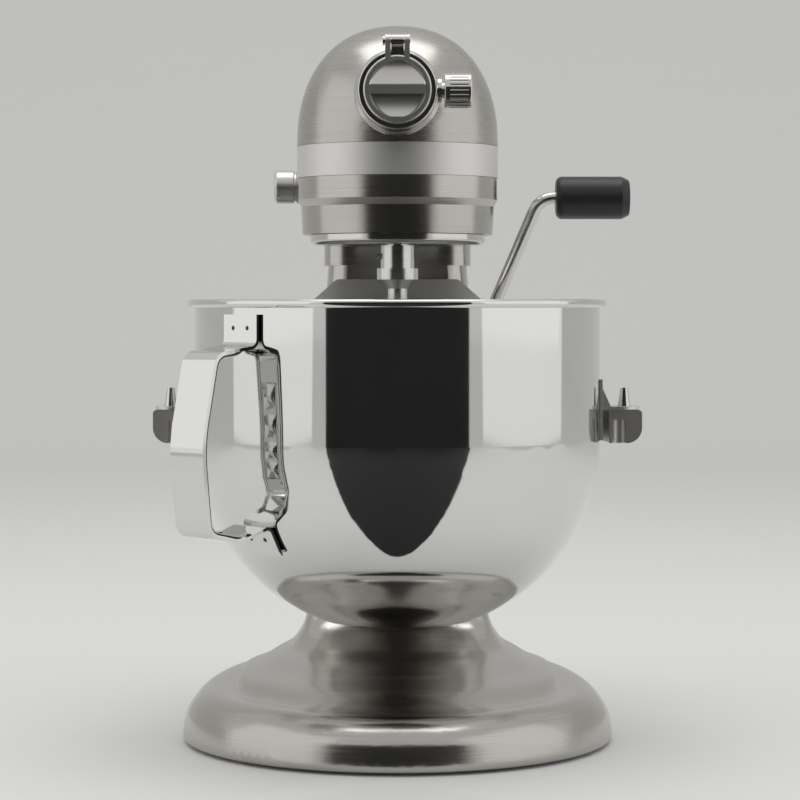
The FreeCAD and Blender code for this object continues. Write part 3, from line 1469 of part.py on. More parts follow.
def make_hub():
    front, root = "-hub_front", "-hub_root_y"
    floor = "-(hub_front - hub_bore_depth)"
    back = f"{floor} + hub_rear_wall"
    profile = [("hub_bore_radius", front), ("hub_radius", front, "hub_edge_round"),
               ("hub_radius", f"{root} - hub_flare_length", "hub_flare_round"),
               ("hub_root_radius", root), ("hub_root_radius", back), ("drive_shaft_radius", back),
               ("drive_shaft_radius", floor), ("hub_bore_radius", floor)]
    body = turned("hub_body", "XY_Plane", "V_Axis", profile)
    seat = put(body, "z", ("0", "0", "hub_z"))
    lug_block = box("lug_block", ("-hinge_lug_half", "hinge_lug_half"), (front, f"{front} + hinge_lug_depth"),
                    ("hub_z + hub_radius - hinge_lug_sink", f"{HINGE_Z} + hinge_radius - cut_past"))
    lug_round = rod("lug_round", "hinge_radius", "hinge_lug_half * 2", "x",
                    ("-hinge_lug_half", front, HINGE_Z))
    pin_bore = rod("lug_bore", "hinge_pin_radius + run_gap", "hub_radius * 2", "x",
                   ("-hub_radius", front, HINGE_Z))
    screw_bore = rod("thumb_bore", "thumb_screw_radius", "hub_radius", "x",
                     ("hub_bore_radius - cut_past", "-thumb_y", "hub_z"))
    sub_part(cut("attachment_hub", fuse("hub_solid", seat, lug_block, lug_round), pin_bore, screw_bore),
             "attachment_hub")


def make_hub_cover():
    rim_inner = "cover_radius - cover_rim"
    dish = f"{COVER_FRONT} + cover_dish"
    profile = [("0", COVER_BACK), ("cover_radius", COVER_BACK),
               ("cover_radius", COVER_FRONT, "cover_edge_round"),
               (rim_inner, COVER_FRONT), (f"{rim_inner} - cover_dish_slope", dish), ("0", dish)]
    disc = put(turned("cover_disc", "XY_Plane", "V_Axis", profile), "z", ("0", "0", "hub_z"))
    bar = box("cover_bar", (f"-({rim_inner}) - cover_bar_sink", f"{rim_inner} + cover_bar_sink"),
              (f"{COVER_FRONT} - cover_bar_proud", f"{dish} + cover_bar_sink"),
              ("hub_z - cover_bar_half", "hub_z + cover_bar_half"))
    inner = "hinge_lug_half + clearance"
    ears = []
    for low, high in ((f"-({inner} + hinge_ear)", f"-({inner})"), (inner, f"{inner} + hinge_ear")):
        ears.append(box("cover_ear", (low, high), (COVER_FRONT, COVER_BACK),
                        ("hub_z + cover_radius - cover_ear_sink", HINGE_Z)))
        ears.append(rod("cover_ear_round", "hinge_radius", f"{high} - ({low})", "x",
                        (low, "-hub_front", HINGE_Z)))
    bore = rod("cover_pin_bore", "hinge_pin_radius + run_gap", "hub_radius * 2", "x",
               ("-hub_radius", "-hub_front", HINGE_Z))
    sub_part(cut("hub_cover", fuse("cover_solid", disc, bar, *ears), bore), "hub_cover")
    reach = f"{inner} + hinge_ear"
    pin = rod("hinge_pin_bar", "hinge_pin_radius", f"2 * ({reach} + hinge_pin_proud)", "x",
              (f"-({reach}) - hinge_pin_proud", "-hub_front", HINGE_Z))
    head = rod("hinge_pin_head", "hinge_head_radius", "hinge_head_height", "x",
               (f"-({reach}) - hinge_head_reach", "-hub_front", HINGE_Z))
    sub_part(fuse("hinge_pin", pin, head), "hub_hinge_pin")


def make_thumb_knob():
    """The knurled knob that clamps accessories in the hub, with its washer and screw."""
    washer = "hub_radius + clearance"
    neck = f"{washer} + thumb_washer"
    start = f"{neck} + thumb_neck"
    end = f"{start} + thumb_knob_length"
    profile = [(washer, "0"), (washer, "thumb_washer_radius"), (neck, "thumb_washer_radius"),
               (neck, "thumb_screw_radius * 1.5"),
               (start, "thumb_screw_radius * 1.5"), (start, "thumb_knob_radius", "thumb_inner_round"),
               (end, "thumb_knob_radius", "thumb_outer_round"), (end, "0")]
    body = put(turned("thumb_body", "XY_Plane", "H_Axis", profile), "z", ("0", "-thumb_y", "hub_z"))
    flutes = []
    for step in range(int(value("thumb_flutes"))):
        angle = 2 * math.pi * step / value("thumb_flutes")
        radius = value("thumb_knob_radius + thumb_flute_radius * 0.5")
        flutes.append(Part.makeCylinder(value("thumb_flute_radius"), value("thumb_flute_length"),
                                        VEC(value(f"{start} + thumb_flute_start"), radius * math.cos(angle),
                                            radius * math.sin(angle)), VEC(1, 0, 0)))
    knurl = shaped("thumb_knurl", Part.makeCompound(flutes))
    bind(knurl, "Placement.Base.y", "-thumb_y")
    bind(knurl, "Placement.Base.z", "hub_z")
    bore = rod("thumb_knob_bore", "thumb_screw_radius - run_gap",
               f"{start} + thumb_screw_sink + cut_past - ({washer})", "x",
               (washer, "-thumb_y", "hub_z"))
    sub_part(cut("attachment_knob", body, knurl, bore), "attachment_knob")
    sub_part(rod("knob_screw", "thumb_screw_radius - 2 * run_gap",
                 f"{start} + thumb_screw_sink - hub_bore_radius - clearance * 2", "x"),
             "knob_screw", ("hub_bore_radius + clearance * 2", "-thumb_y", "hub_z"))


# Lift lever and crank

def make_lever():
    path = [("crank_inner_x", "0"), ("lever_elbow_x", "0", "lever_low_bend"),
            ("lever_top_x", "lever_rise", "lever_high_bend"),
            ("lever_end_x - grip_cap - lever_tip_gap", "lever_rise")]

    def rod_profile(sketch):
        circle_outline(sketch, "0", "0", "lever_rod_radius")

    body = swept("lever_rod", "XZ_Plane", path, "YZ_Plane", "crank_inner_x", rod_profile)
    lean_about_x(body)
    sub_part(body, "lift_lever", ("0", "lever_y", "lever_z"))
    grip_start = "lever_end_x - grip_length"
    profile = [(grip_start, "lever_rod_radius + press_gap"), (grip_start, "grip_radius", "grip_round"),
               ("lever_end_x - grip_cap", "grip_radius"),
               ("lever_end_x", "grip_radius - grip_end_taper", "grip_end_round"),
               ("lever_end_x", "0"),
               ("lever_end_x - grip_cap - lever_tip_gap + press_gap", "0"),
               ("lever_end_x - grip_cap - lever_tip_gap + press_gap", "lever_rod_radius + press_gap")]
    sub_part(turned("grip_body", "XY_Plane", "H_Axis", profile), "lever_grip",
             ("0", "lever_y - lever_rise * sin(lever_lean)", "lever_z + lever_rise * cos(lever_lean)"))
    sub_part(tube("lever_bush", "lever_bush_radius - press_gap", "lever_rod_radius + run_gap",
                  "lever_bush_outer_x - lever_bush_inner_x",
                  "x", ("lever_bush_inner_x", "lever_y", "lever_z")), "lever_bush")


def lean_about_x(item):
    """Tips a piece of the lever forward about the pivot."""
    item.Placement = FreeCAD.Placement(VEC(), FreeCAD.Rotation(VEC(1, 0, 0), 1))
    bind(item, "Placement.Rotation.Angle", "lever_lean * 1 deg")


def make_crank():
    """An arm fixed to the lever's inner end, whose pin lifts the bowl support."""
    hub = rod("crank_hub", "crank_hub_radius", "crank_thickness", "x",
              ("crank_inner_x", "lever_y", "lever_z"))
    end_y, end_z = "lever_y + crank_radius * cos(crank_angle)", "lever_z + crank_radius * sin(crank_angle)"
    end = rod("crank_end", "crank_pin_radius + crank_end_wall", "crank_thickness", "x",
              ("crank_inner_x", end_y, end_z))
    arm_half = value("crank_pin_radius + crank_arm_wall")
    arm = Part.makeBox(value("crank_thickness"), value("crank_radius"), 2 * arm_half, VEC(0, 0, -arm_half))
    arm.rotate(VEC(), VEC(1, 0, 0), value("crank_angle"))
    web = shaped("crank_web", arm)
    for letter, expression in zip("xyz", ("crank_inner_x", "lever_y", "lever_z")):
        bind(web, f"Placement.Base.{letter}", expression)
    bore = rod("crank_bore", "lever_rod_radius + run_gap", "crank_thickness * 3", "x",
               ("crank_inner_x - crank_thickness", "lever_y", "lever_z"))
    pin = rod("crank_pin", "crank_pin_radius", "crank_pin_length + cut_past", "x",
              ("crank_inner_x - crank_pin_length", end_y, end_z))
    sub_part(cut("lift_crank", fuse("crank_solid", hub, end, web, pin), bore), "lift_crank")


# Bowl support

def make_bowl_support():
    """The half-ring yoke with its tall back plate and the tongue that runs in the column's slot."""
    ring = turned("yoke_ring", "YZ_Plane", "V_Axis",
                  [("yoke_inner", "yoke_bottom"), ("yoke_outer", "yoke_bottom", "yoke_round"),
                   ("yoke_outer", "yoke_top", "yoke_top_round"),
                   ("yoke_inner", "yoke_top")], "yoke_sweep")
    plate = padded("yoke_plate", "XZ_Plane",
                   [("-yoke_shoulder_half", "yoke_bottom"), ("yoke_shoulder_half", "yoke_bottom"),
                    ("yoke_shoulder_half", "yoke_shoulder_z", "yoke_shoulder_round"),
                    ("yoke_plate_top_half", "yoke_plate_top", "yoke_plate_round"),
                    ("-yoke_plate_top_half", "yoke_plate_top", "yoke_plate_round"),
                    ("-yoke_shoulder_half", "yoke_shoulder_z", "yoke_shoulder_round")],
                   f"{YOKE_BACK} - yoke_plate_front", f"-({YOKE_BACK})")
    tongue = box("yoke_tongue", ("-tongue_half", "tongue_half"), (f"{YOKE_BACK} - tongue_sink", KEEPER_FRONT),
                 ("tongue_low", "tongue_high"))
    bowl_space = rod("yoke_bowl_space", "yoke_inner", "yoke_plate_top * 2")
    behind = box("yoke_behind", ("-yoke_outer", "yoke_outer"), (YOKE_BACK, f"{YOKE_BACK} + yoke_outer"),
                 ("yoke_bottom - cut_past", "yoke_top + cut_past"))
    trimmed = cut("yoke_trimmed", fuse("yoke_solid", ring, plate), bowl_space, behind)
    bores = []
    for side in ("-", ""):
        bores.append(rod("yoke_pin_bore", "pin_shank_radius + press_gap", "pin_shank_depth + cut_past",
                         start=(f"{side}pin_x", "0", "yoke_top - pin_shank_depth")))
        bores.append(rod("yoke_notch", "yoke_notch_radius", "yoke_notch_top - yoke_bottom + cut_past",
                         start=(f"{side}yoke_notch_x", "-yoke_notch_y", "yoke_bottom - cut_past")))
    for x, z in keeper_screw_places():
        bores.append(rod("yoke_screw_bore", "keeper_screw_radius + press_gap", "column_wall * 2", "y",
                         (x, f"{KEEPER_FRONT} - column_wall * 2 + cut_past", z)))
    sub_part(cut("bowl_support", fuse("yoke_joined", trimmed, tongue), *bores), "bowl_support")


def keeper_screw_places():
    return [(f"{side}keeper_screw_x", z) for side in ("-", "") for z in ("tongue_low + keeper_screw_inset",
                                                                         "tongue_high - keeper_screw_inset")]


def make_keeper():
    """The plate inside the column that holds the support on, and its slotted lug for the crank's pin."""
    plate = box("keeper_plate", ("-keeper_half", "keeper_half"),
                (KEEPER_FRONT, f"{KEEPER_FRONT} + keeper_thickness"),
                ("tongue_low", "tongue_high"))
    lug_x = ("crank_inner_x - lug_gap - lug_thickness", "crank_inner_x - lug_gap")
    far = "lever_y + crank_radius + crank_pin_radius + lug_margin"
    lug = box("keeper_lug", lug_x, (KEEPER_FRONT, far),
              (f"{CRANK_PIN_Z} - lug_half_height", f"{CRANK_PIN_Z} + lug_half_height"))
    slot = box("lug_slot", ("crank_inner_x - lug_thickness * 3", "crank_inner_x"),
               ("lever_y + crank_radius * cos(crank_angle) - crank_pin_radius - slot_play",
                "lever_y + crank_radius + crank_pin_radius + slot_play"),
               (f"{CRANK_PIN_Z} - crank_pin_radius - slot_play",
                f"{CRANK_PIN_Z} + crank_pin_radius + slot_play"))
    bores = [rod("keeper_screw_bore", "keeper_screw_radius + press_gap", "keeper_thickness * 3", "y",
                 (x, f"{KEEPER_FRONT} - keeper_thickness", z))
             for x, z in keeper_screw_places()]
    sub_part(cut("slide_keeper", fuse("keeper_solid", plate, lug), slot, *bores), "slide_keeper")
    screws = []
    for x, z in keeper_screw_places():
        back = f"{KEEPER_FRONT} + keeper_thickness"
        head = rod("keeper_screw_cap", "keeper_screw_head", "keeper_screw_radius", "y", (x, back, z))
        shank = rod("keeper_screw_shank", "keeper_screw_radius", "keeper_thickness + column_wall", "y",
                    (x, f"{back} - keeper_thickness - column_wall", z))
        screws.append(fuse("keeper_screw", head, shank))
    sub_part(group("keeper_screw_set", screws), "keeper_screws")


def make_pins():
    pins = []
    for side in ("-", ""):
        point = taper("pin_point", "pin_base_radius", "pin_tip_radius", "pin_height",
                      start=(f"{side}pin_x", "0", "yoke_top"))
        shank = rod("pin_shank", "pin_shank_radius", "pin_shank_depth",
                    start=(f"{side}pin_x", "0", "yoke_top - pin_shank_depth"))
        pins.append(fuse("locating_pin", point, shank))
    sub_part(group("pin_pair", pins), "locating_pins")


def make_latch():
    """A spring clip on the support's plate that takes the pin at the back of the bowl."""
    back = "yoke_inner - seam"
    base = box("latch_base", ("-latch_half", "latch_half"), (f"{back} - latch_leaf - cut_past", back),
               ("latch_z", "latch_z + latch_height"))
    face = rod("latch_face", "yoke_inner - seam", "latch_height", start=("0", "0", "latch_z"))
    prongs = []
    gap = "rear_pin_radius + clearance"
    for low, high in ((f"-({gap} + latch_leaf)", f"-({gap})"), (gap, f"{gap} + latch_leaf")):
        prongs.append(box("latch_prong", (low, high),
                          (f"{back} - latch_leaf - latch_reach", f"{back} - latch_leaf"),
                          ("latch_z", "latch_z + latch_height")))
    sub_part(common("bowl_latch", fuse("latch_solid", base, *prongs), face), "bowl_latch")


# Bowl

def make_bowl():
    rim = "bowl_radius + bowl_bead_reach"
    inner = "bowl_radius - bowl_wall"
    drop = "bowl_wall * tan((90 - bowl_floor_slope) / 2)"
    profile = [("0", "bowl_bottom"), ("bowl_floor_radius", "bowl_bottom", "bowl_floor_round"),
               ("bowl_radius", BOWL_TURN, "bowl_round"),
               ("bowl_radius", "bowl_top - bowl_bead"), (rim, "bowl_top - bowl_bead", "bowl_bead_round"),
               (rim, "bowl_top", "bowl_bead_round"), (inner, "bowl_top", "bowl_bead_round"),
               (inner, f"{BOWL_TURN} + {drop}", "bowl_round - bowl_wall"),
               ("bowl_floor_radius - bowl_wall * tan(bowl_floor_slope / 2)", "bowl_bottom + bowl_wall",
                "bowl_floor_round - bowl_wall"),
               ("0", "bowl_bottom + bowl_wall")]
    sub_part(turned("bowl", "XZ_Plane", "V_Axis", profile), "mixing_bowl")
    sub_part(rod("rear_pin", "rear_pin_radius", "rear_pin_length", "y"), "bowl_rear_pin",
             ("0", "bowl_radius + press_gap", "rear_pin_z"))


def make_brackets():
    """The welded plate on each side of the bowl, with the ear that drops over a locating pin."""
    inner = "bowl_radius + press_gap"
    sheet_ring = tube("bracket_ring", f"{inner} + bracket_sheet", inner, "bracket_high - bracket_low",
                      start=("0", "0", "bracket_low"))
    window = box("bracket_window", ("bowl_radius - bracket_window", "bowl_radius + bracket_window"),
                 ("-bracket_half", "bracket_half"), ("bracket_low", "bracket_high"))
    plate = common("bracket_plate_part", sheet_ring, window)
    ear_box = box("ear_box", ("bowl_radius - ear_sink", "ear_centre_x"), ("-ear_half", "ear_half"),
                  (EAR_BOTTOM, f"{EAR_BOTTOM} + ear_thickness"))
    ear_round = rod("ear_round", "ear_half", "ear_thickness", start=("ear_centre_x", "0", EAR_BOTTOM))
    gussets = []
    for y in ("-gusset_y - bracket_sheet", "gusset_y"):
        low = value(EAR_BOTTOM)
        wall = value("bowl_radius - cut_past")
        corners = [VEC(wall, 0, low), VEC(value(f"{inner} + bracket_sheet + gusset_reach"), 0, low),
                   VEC(wall, 0, value("bracket_high"))]
        outline_face = Part.Face(Part.makePolygon(corners + corners[:1]))
        gusset = shaped("gusset", outline_face.extrude(VEC(0, value("bracket_sheet"), 0)))
        bind(gusset, "Placement.Base.y", y)
        gussets.append(gusset)
    bowl_space = rod("bracket_bowl_space", inner, "bowl_top", start=("0", "0", "0"))
    hole = rod("ear_hole", "ear_hole_radius", "ear_thickness * 3",
               start=("pin_x", "0", f"{EAR_BOTTOM} - ear_thickness"))
    right = cut("bracket_right", fuse("bracket_joined", plate, ear_box, ear_round, *gussets), bowl_space,
                hole)
    sub_part(group("bracket_pair", [right, mirror_x("bracket_left", right)]), "bowl_brackets")


def make_handle():
    """A bent strap: a tab on the wall, a shelf, the bowed grip, and a foot that dips to the lower tab."""
    path = [(HANDLE_LINE, "handle_tab_top"), (HANDLE_LINE, "handle_shelf_inner_z", "handle_tab_bend"),
            ("bowl_radius + handle_shelf_reach", "handle_shelf_outer_z", "handle_shelf_bend"),
            ("bowl_radius + handle_bow_reach", "handle_bow_z", "handle_bow_bend"),
            ("bowl_radius + handle_foot_reach", "handle_foot_z", "handle_foot_bend"),
            ("bowl_radius + handle_dip_reach", "handle_dip_z", "handle_dip_bend"),
            ("handle_weld_x", "handle_weld_z", "handle_weld_bend"), ("handle_end_x", "handle_end_z")]

    def strap_profile(sketch):
        low, high = f"{HANDLE_LINE} - handle_thickness / 2", f"{HANDLE_LINE} + handle_thickness / 2"
        outline(sketch, [(low, "-handle_width / 2"), (high, "-handle_width / 2"),
                         (high, "handle_width / 2"), (low, "handle_width / 2")])

    body = swept("handle_strap", "XZ_Plane", path, "XY_Plane", "handle_tab_top", strap_profile)
    body.Placement = FreeCAD.Placement(VEC(), FreeCAD.Rotation(VEC(0, 0, 1), 1))
    bind(body, "Placement.Rotation.Angle", "handle_azimuth * 1 deg")
    sub_part(body, "bowl_handle")


def check_and_write():
    """Stops on any failed object, then writes each sub-part to its own file."""
    doc.recompute()
    failed = [item.Label for item in doc.Objects if "Invalid" in item.State or "Error" in item.State]
    for label, item in sub_parts.items():
        if item.Shape.isNull() or not item.Shape.isValid() or not item.Shape.Solids:
            failed.append(label)
    if failed:
        raise RuntimeError(f"these objects failed: {failed}")
    os.makedirs("parts", exist_ok=True)
    for label, item in sub_parts.items():
        item.Shape.exportStep(f"parts/{label}.step")
    print(len(sub_parts), "sub-parts written")


fill_sheet()
for make in (make_feet, make_pedestal, make_grommet, make_lower_housing, make_upper_cover, make_band,
             make_rear_cover, make_screws,
             make_ring_gear, make_centre_gears, make_wheel_set, make_gear_bracket, make_bushes, make_bevels,
             make_attachment_shaft,
             make_planetary, make_beater, make_hook, make_motor_case, make_magnets, make_rotor,
             make_brushes, make_control_board,
             make_speed_control, make_hub, make_hub_cover, make_thumb_knob, make_lever, make_crank,
             make_bowl_support, make_keeper,
             make_pins, make_latch, make_bowl, make_brackets, make_handle):
    make()
check_and_write()
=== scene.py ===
import logging
import math
from dataclasses import dataclass, field, replace
from enum import Enum

import bmesh
import bpy
from mathutils import Matrix, Vector


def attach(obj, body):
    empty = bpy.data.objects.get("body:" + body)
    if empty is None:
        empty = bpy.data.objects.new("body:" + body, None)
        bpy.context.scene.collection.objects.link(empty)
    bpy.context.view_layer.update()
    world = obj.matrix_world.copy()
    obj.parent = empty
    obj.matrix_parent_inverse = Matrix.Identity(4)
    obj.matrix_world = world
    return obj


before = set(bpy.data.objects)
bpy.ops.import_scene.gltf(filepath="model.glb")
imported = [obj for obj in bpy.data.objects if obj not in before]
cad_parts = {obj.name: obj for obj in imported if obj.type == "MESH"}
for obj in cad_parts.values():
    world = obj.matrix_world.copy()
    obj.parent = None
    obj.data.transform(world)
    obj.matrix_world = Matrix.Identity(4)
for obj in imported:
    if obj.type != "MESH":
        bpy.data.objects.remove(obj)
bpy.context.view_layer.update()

LOG = logging.getLogger("stand_mixer")
MM = 0.001
QUARTER_TURN = math.pi / 2
FULL_TURN = 2 * math.pi
MIXING_AXIS_Y = -63.5 * MM
ACROSS = Vector((0.0, 1.0, 0.0))
IMAGE_SIDE = 800.0
NOISE_MIDDLE = 0.5
SHORTEST_RUN = 1e-9

# The Mix node's sockets for colours, which share their names with its other kinds.
MIX_MASK = 0
MIX_LOW = 6
MIX_HIGH = 7
MIX_RESULT = 2

Triple = tuple[float, float, float]
Colour = Triple
Place = Triple
Path = list[Vector]
Ring = list[bmesh.types.BMVert]


def opaque(colour: Colour) -> tuple[float, float, float, float]:
    """A colour with full alpha, as a socket takes it."""
    return (*colour, 1.0)


def put(name: str, data: bpy.types.ID) -> bpy.types.Object:
    """Puts a new object into the scene.

    Args:
        name: the object's name.
        data: its mesh, lamp or camera.

    Returns:
        The new object.
    """
    item = bpy.data.objects.new(name, data)
    bpy.context.scene.collection.objects.link(item)
    return item


def smooth_mesh(name: str, mesh: bmesh.types.BMesh) -> bpy.types.Mesh:
    """Turns a mesh under work into a smooth one to keep.

    Args:
        name: the mesh's name.
        mesh: the mesh under work, which is freed.

    Returns:
        The new mesh.
    """
    data = bpy.data.meshes.new(name)
    mesh.to_mesh(data)
    mesh.free()
    for face in data.polygons:
        face.use_smooth = True
    return data


class Lay(Enum):
    """The way that the fine lines of a worked surface run, as repeats in a metre along X, Y and Z."""

    LEVEL = (14.0, 14.0, 2600.0)
    ALONG_MACHINE = (1800.0, 14.0, 1800.0)
    ALL_WAYS = (420.0, 420.0, 420.0)
    FINE_GRAIN = (1500.0, 1500.0, 1500.0)


class Coordinates(Enum):
    """What a surface tells of its points, in its object's own frame."""

    PLACE = "Object"
    FACING = "Normal"


@dataclass
class Value:
    """One number socket of a shader, which takes part in Python expressions."""

    shader: "Shader"
    socket: bpy.types.NodeSocket

    def __add__(self, other: "float | Value") -> "Value":
        """Adds two values."""
        return self.shader.maths("ADD", self, other)

    __radd__ = __add__

    def __sub__(self, other: "float | Value") -> "Value":
        """Takes another value from this one."""
        return self.shader.maths("SUBTRACT", self, other)

    def __rsub__(self, other: "float | Value") -> "Value":
        """Takes this value from another one."""
        return self.shader.maths("SUBTRACT", other, self)

    def __mul__(self, other: "float | Value") -> "Value":
        """Multiplies two values."""
        return self.shader.maths("MULTIPLY", self, other)

    __rmul__ = __mul__

    def __lt__(self, other: "float | Value") -> "Value":
        """Gives 1 where this value is the smaller one, or 0."""
        return self.shader.maths("LESS_THAN", self, other)

    def __gt__(self, other: "float | Value") -> "Value":
        """Gives 1 where this value is the larger one, or 0."""
        return self.shader.maths("GREATER_THAN", self, other)


class Shader:
    """The nodes of one material or of the world."""

    def __init__(self, tree: bpy.types.NodeTree) -> None:
        """Clears a node tree and keeps it."""
        self.tree = tree
        tree.nodes.clear()

    def node(self, kind: str, settings: dict[str, object] | None = None,
             sockets: dict[str | int, object] | None = None) -> bpy.types.Node:
        """Adds a node.

        Args:
            kind: the node's type.
            settings: its own properties, which are set first.
            sockets: the values or links of its input sockets, by name or number.

        Returns:
            The new node.
        """
        made = self.tree.nodes.new(kind)
        for name, setting in (settings or {}).items():
            setattr(made, name, setting)
        for key, given in (sockets or {}).items():
            source = given.socket if isinstance(given, Value) else given
            if isinstance(source, bpy.types.NodeSocket):
                self.tree.links.new(source, made.inputs[key])
            else:
                made.inputs[key].default_value = source
        return made

    def maths(self, operation: str, *operands: "float | Value") -> Value:
        """Adds a Math node with these numbers or values."""
        made = self.node("ShaderNodeMath", {"operation": operation}, dict(enumerate(operands)))
        return Value(self, made.outputs[0])

    def coordinates(self, kind: Coordinates) -> bpy.types.NodeSocket:
        """One kind of the surface's coordinates, with places in metres."""
        return self.node("ShaderNodeTexCoord").outputs[kind.value]

    def grain(self, repeats: Triple, detail: float) -> Value:
        """A noise that is stretched along the axes.

        Args:
            repeats: how often the noise repeats along X, Y and Z, in a metre.
            detail: the noise's octaves.

        Returns:
            The noise, from 0 to 1.
        """
        stretched = self.node("ShaderNodeMapping", None,
                              {"Vector": self.coordinates(Coordinates.PLACE), "Scale": repeats})
        noise = self.node("ShaderNodeTexNoise", None,
                          {"Vector": stretched.outputs[0], "Scale": 1.0, "Detail": detail})
        return Value(self, noise.outputs[0])

    def between(self, mask: Value, low: Colour, high: Colour) -> bpy.types.NodeSocket:
        """Mixes two colours, with the low one where the mask is 0 and the high one where it is 1."""
        made = self.node("ShaderNodeMix", {"data_type": "RGBA"},
                         {MIX_MASK: mask, MIX_LOW: opaque(low), MIX_HIGH: opaque(high)})
        return made.outputs[MIX_RESULT]

    def finish(self, kind: str, surface: bpy.types.Node) -> None:
        """Links a surface or a background to the output node."""
        self.node(kind, None, {0: surface.outputs[0]})


@dataclass(frozen=True)
class Finish:
    """A surface: its two colours, its roughness and its fine lines.

    The inner roughness is for the inside of a hollow shell round the hollow's centre.
    """

    name: str
    slot: str
    low: Colour
    high: Colour
    roughness: float
    roughness_spread: float
    lay: Lay
    line_strength: float
    line_depth: float
    metallic: float = 1.0
    inner_roughness: float | None = None
    hollow_centre: Place = (0.0, MIXING_AXIS_Y, 190.0 * MM)
    line_detail: float = 3.0
    line_share: float = 0.6
    cloud_repeats: float = 26.0
    cloud_detail: float = 4.0
    cloud_spread: float = 0.6

    def material(self) -> bpy.types.Material:
        """Builds the material of this finish.

        Returns:
            The new material.
        """
        made = bpy.data.materials.new(self.name)
        made.use_nodes = True
        shader = Shader(made.node_tree)
        lines = shader.grain(self.lay.value, self.line_detail)
        cloud = shader.grain((self.cloud_repeats,) * 3, self.cloud_detail)
        tone = lines * self.line_share + cloud * (1 - self.line_share)
        rough = (self.roughness + (lines - NOISE_MIDDLE) * self.roughness_spread
                 + (cloud - NOISE_MIDDLE) * (self.roughness_spread * self.cloud_spread))
        if self.inner_roughness is not None:
            rough = rough + self.inside(shader) * (self.inner_roughness - self.roughness)
        bump = shader.node("ShaderNodeBump", None, {
            "Strength": self.line_strength, "Distance": self.line_depth, "Height": lines})
        surface = shader.node("ShaderNodeBsdfPrincipled", None, {
            "Base Color": shader.between(tone, self.low, self.high), "Metallic": self.metallic,
            "Roughness": rough, "Normal": bump.outputs[0]})
        shader.finish("ShaderNodeOutputMaterial", surface)
        return made

    def inside(self, shader: Shader) -> Value:
        """Tells the inner side of a hollow shell from its outer side.

        Args:
            shader: the material's nodes.

        Returns:
            1 where the surface faces the shell's centre, or 0.
        """
        place = shader.coordinates(Coordinates.PLACE)
        facing = shader.coordinates(Coordinates.FACING)
        outward = shader.node("ShaderNodeVectorMath", {"operation": "SUBTRACT"},
                              {0: place, 1: self.hollow_centre})
        along = shader.node("ShaderNodeVectorMath", {"operation": "DOT_PRODUCT"},
                            {0: outward.outputs[0], 1: facing})
        return Value(shader, along.outputs["Value"]) < 0.0


BRUSHED_NICKEL = Finish(
    "brushed_nickel", "nickel", low=(0.38, 0.365, 0.34), high=(0.60, 0.58, 0.545), roughness=0.27,
    roughness_spread=0.14, lay=Lay.LEVEL, line_strength=0.12, line_depth=0.15 * MM)
SHEER_NICKEL = Finish(
    "sheer_nickel", "nickel", low=(0.38, 0.365, 0.34), high=(0.64, 0.62, 0.585), roughness=0.21,
    roughness_spread=0.14, lay=Lay.LEVEL, line_strength=0.13, line_depth=0.15 * MM)
# A lighter copy of the nickel for the bowl's arms: its brighter colour is painted light, making up
# for the dark that their flat faces reflect.
LIT_ARM_NICKEL = Finish(
    "lit_arm_nickel", "nickel", low=(0.54, 0.525, 0.50), high=(0.76, 0.74, 0.70), roughness=0.40,
    roughness_spread=0.12, lay=Lay.LEVEL, line_strength=0.10, line_depth=0.15 * MM)
SATIN_BAND = Finish(
    "satin_band", "band", low=(0.70, 0.69, 0.67), high=(0.82, 0.81, 0.79), roughness=0.50,
    roughness_spread=0.08, lay=Lay.FINE_GRAIN, line_strength=0.06, line_depth=0.10 * MM)
MIRROR_STEEL = Finish(
    "mirror_steel", "stainless", low=(0.70, 0.70, 0.69), high=(0.78, 0.78, 0.77), roughness=0.05,
    roughness_spread=0.03, lay=Lay.LEVEL, line_strength=0.008, line_depth=0.04 * MM)
BOWL_STEEL = replace(MIRROR_STEEL, name="bowl_steel", inner_roughness=0.36)
HOOK_STEEL = Finish(
    "hook_steel", "stainless", low=(0.60, 0.60, 0.59), high=(0.72, 0.72, 0.71), roughness=0.22,
    roughness_spread=0.10, lay=Lay.ALL_WAYS, line_strength=0.06, line_depth=0.10 * MM)
SATIN_STEEL = Finish(
    "satin_steel", "stainless", low=(0.62, 0.62, 0.61), high=(0.76, 0.76, 0.75), roughness=0.38,
    roughness_spread=0.10, lay=Lay.LEVEL, line_strength=0.06, line_depth=0.10 * MM)
# A near-black finish for the handle's weld spots.
DARK_WELD = Finish(
    "dark_weld", "stainless", low=(0.05, 0.045, 0.04), high=(0.10, 0.09, 0.08), roughness=0.45,
    roughness_spread=0.10, lay=Lay.FINE_GRAIN, line_strength=0.15, line_depth=0.10 * MM)
BRIGHT_PLATE = Finish(
    "bright_plate", "bright", low=(0.60, 0.59, 0.57), high=(0.71, 0.70, 0.68), roughness=0.14,
    roughness_spread=0.06, lay=Lay.FINE_GRAIN, line_strength=0.02, line_depth=0.05 * MM)
COVER_PLATE = replace(BRIGHT_PLATE, name="cover_plate", roughness=0.36)
SCOOP_PLATE = Finish(
    "scoop_plate", "bright", low=(0.62, 0.61, 0.59), high=(0.73, 0.72, 0.70), roughness=0.24,
    roughness_spread=0.06, lay=Lay.LEVEL, line_strength=0.02, line_depth=0.05 * MM)
BLACK_GRIP = Finish(
    "black_grip", "grip", low=(0.010, 0.010, 0.011), high=(0.022, 0.022, 0.023), roughness=0.38,
    roughness_spread=0.10, lay=Lay.FINE_GRAIN, line_strength=0.10, line_depth=0.10 * MM,
    metallic=0.0)
BLACK_RUBBER = Finish(
    "black_rubber", "rubber", low=(0.020, 0.020, 0.020), high=(0.045, 0.045, 0.045), roughness=0.75,
    roughness_spread=0.12, lay=Lay.FINE_GRAIN, line_strength=0.20, line_depth=0.20 * MM,
    metallic=0.0)
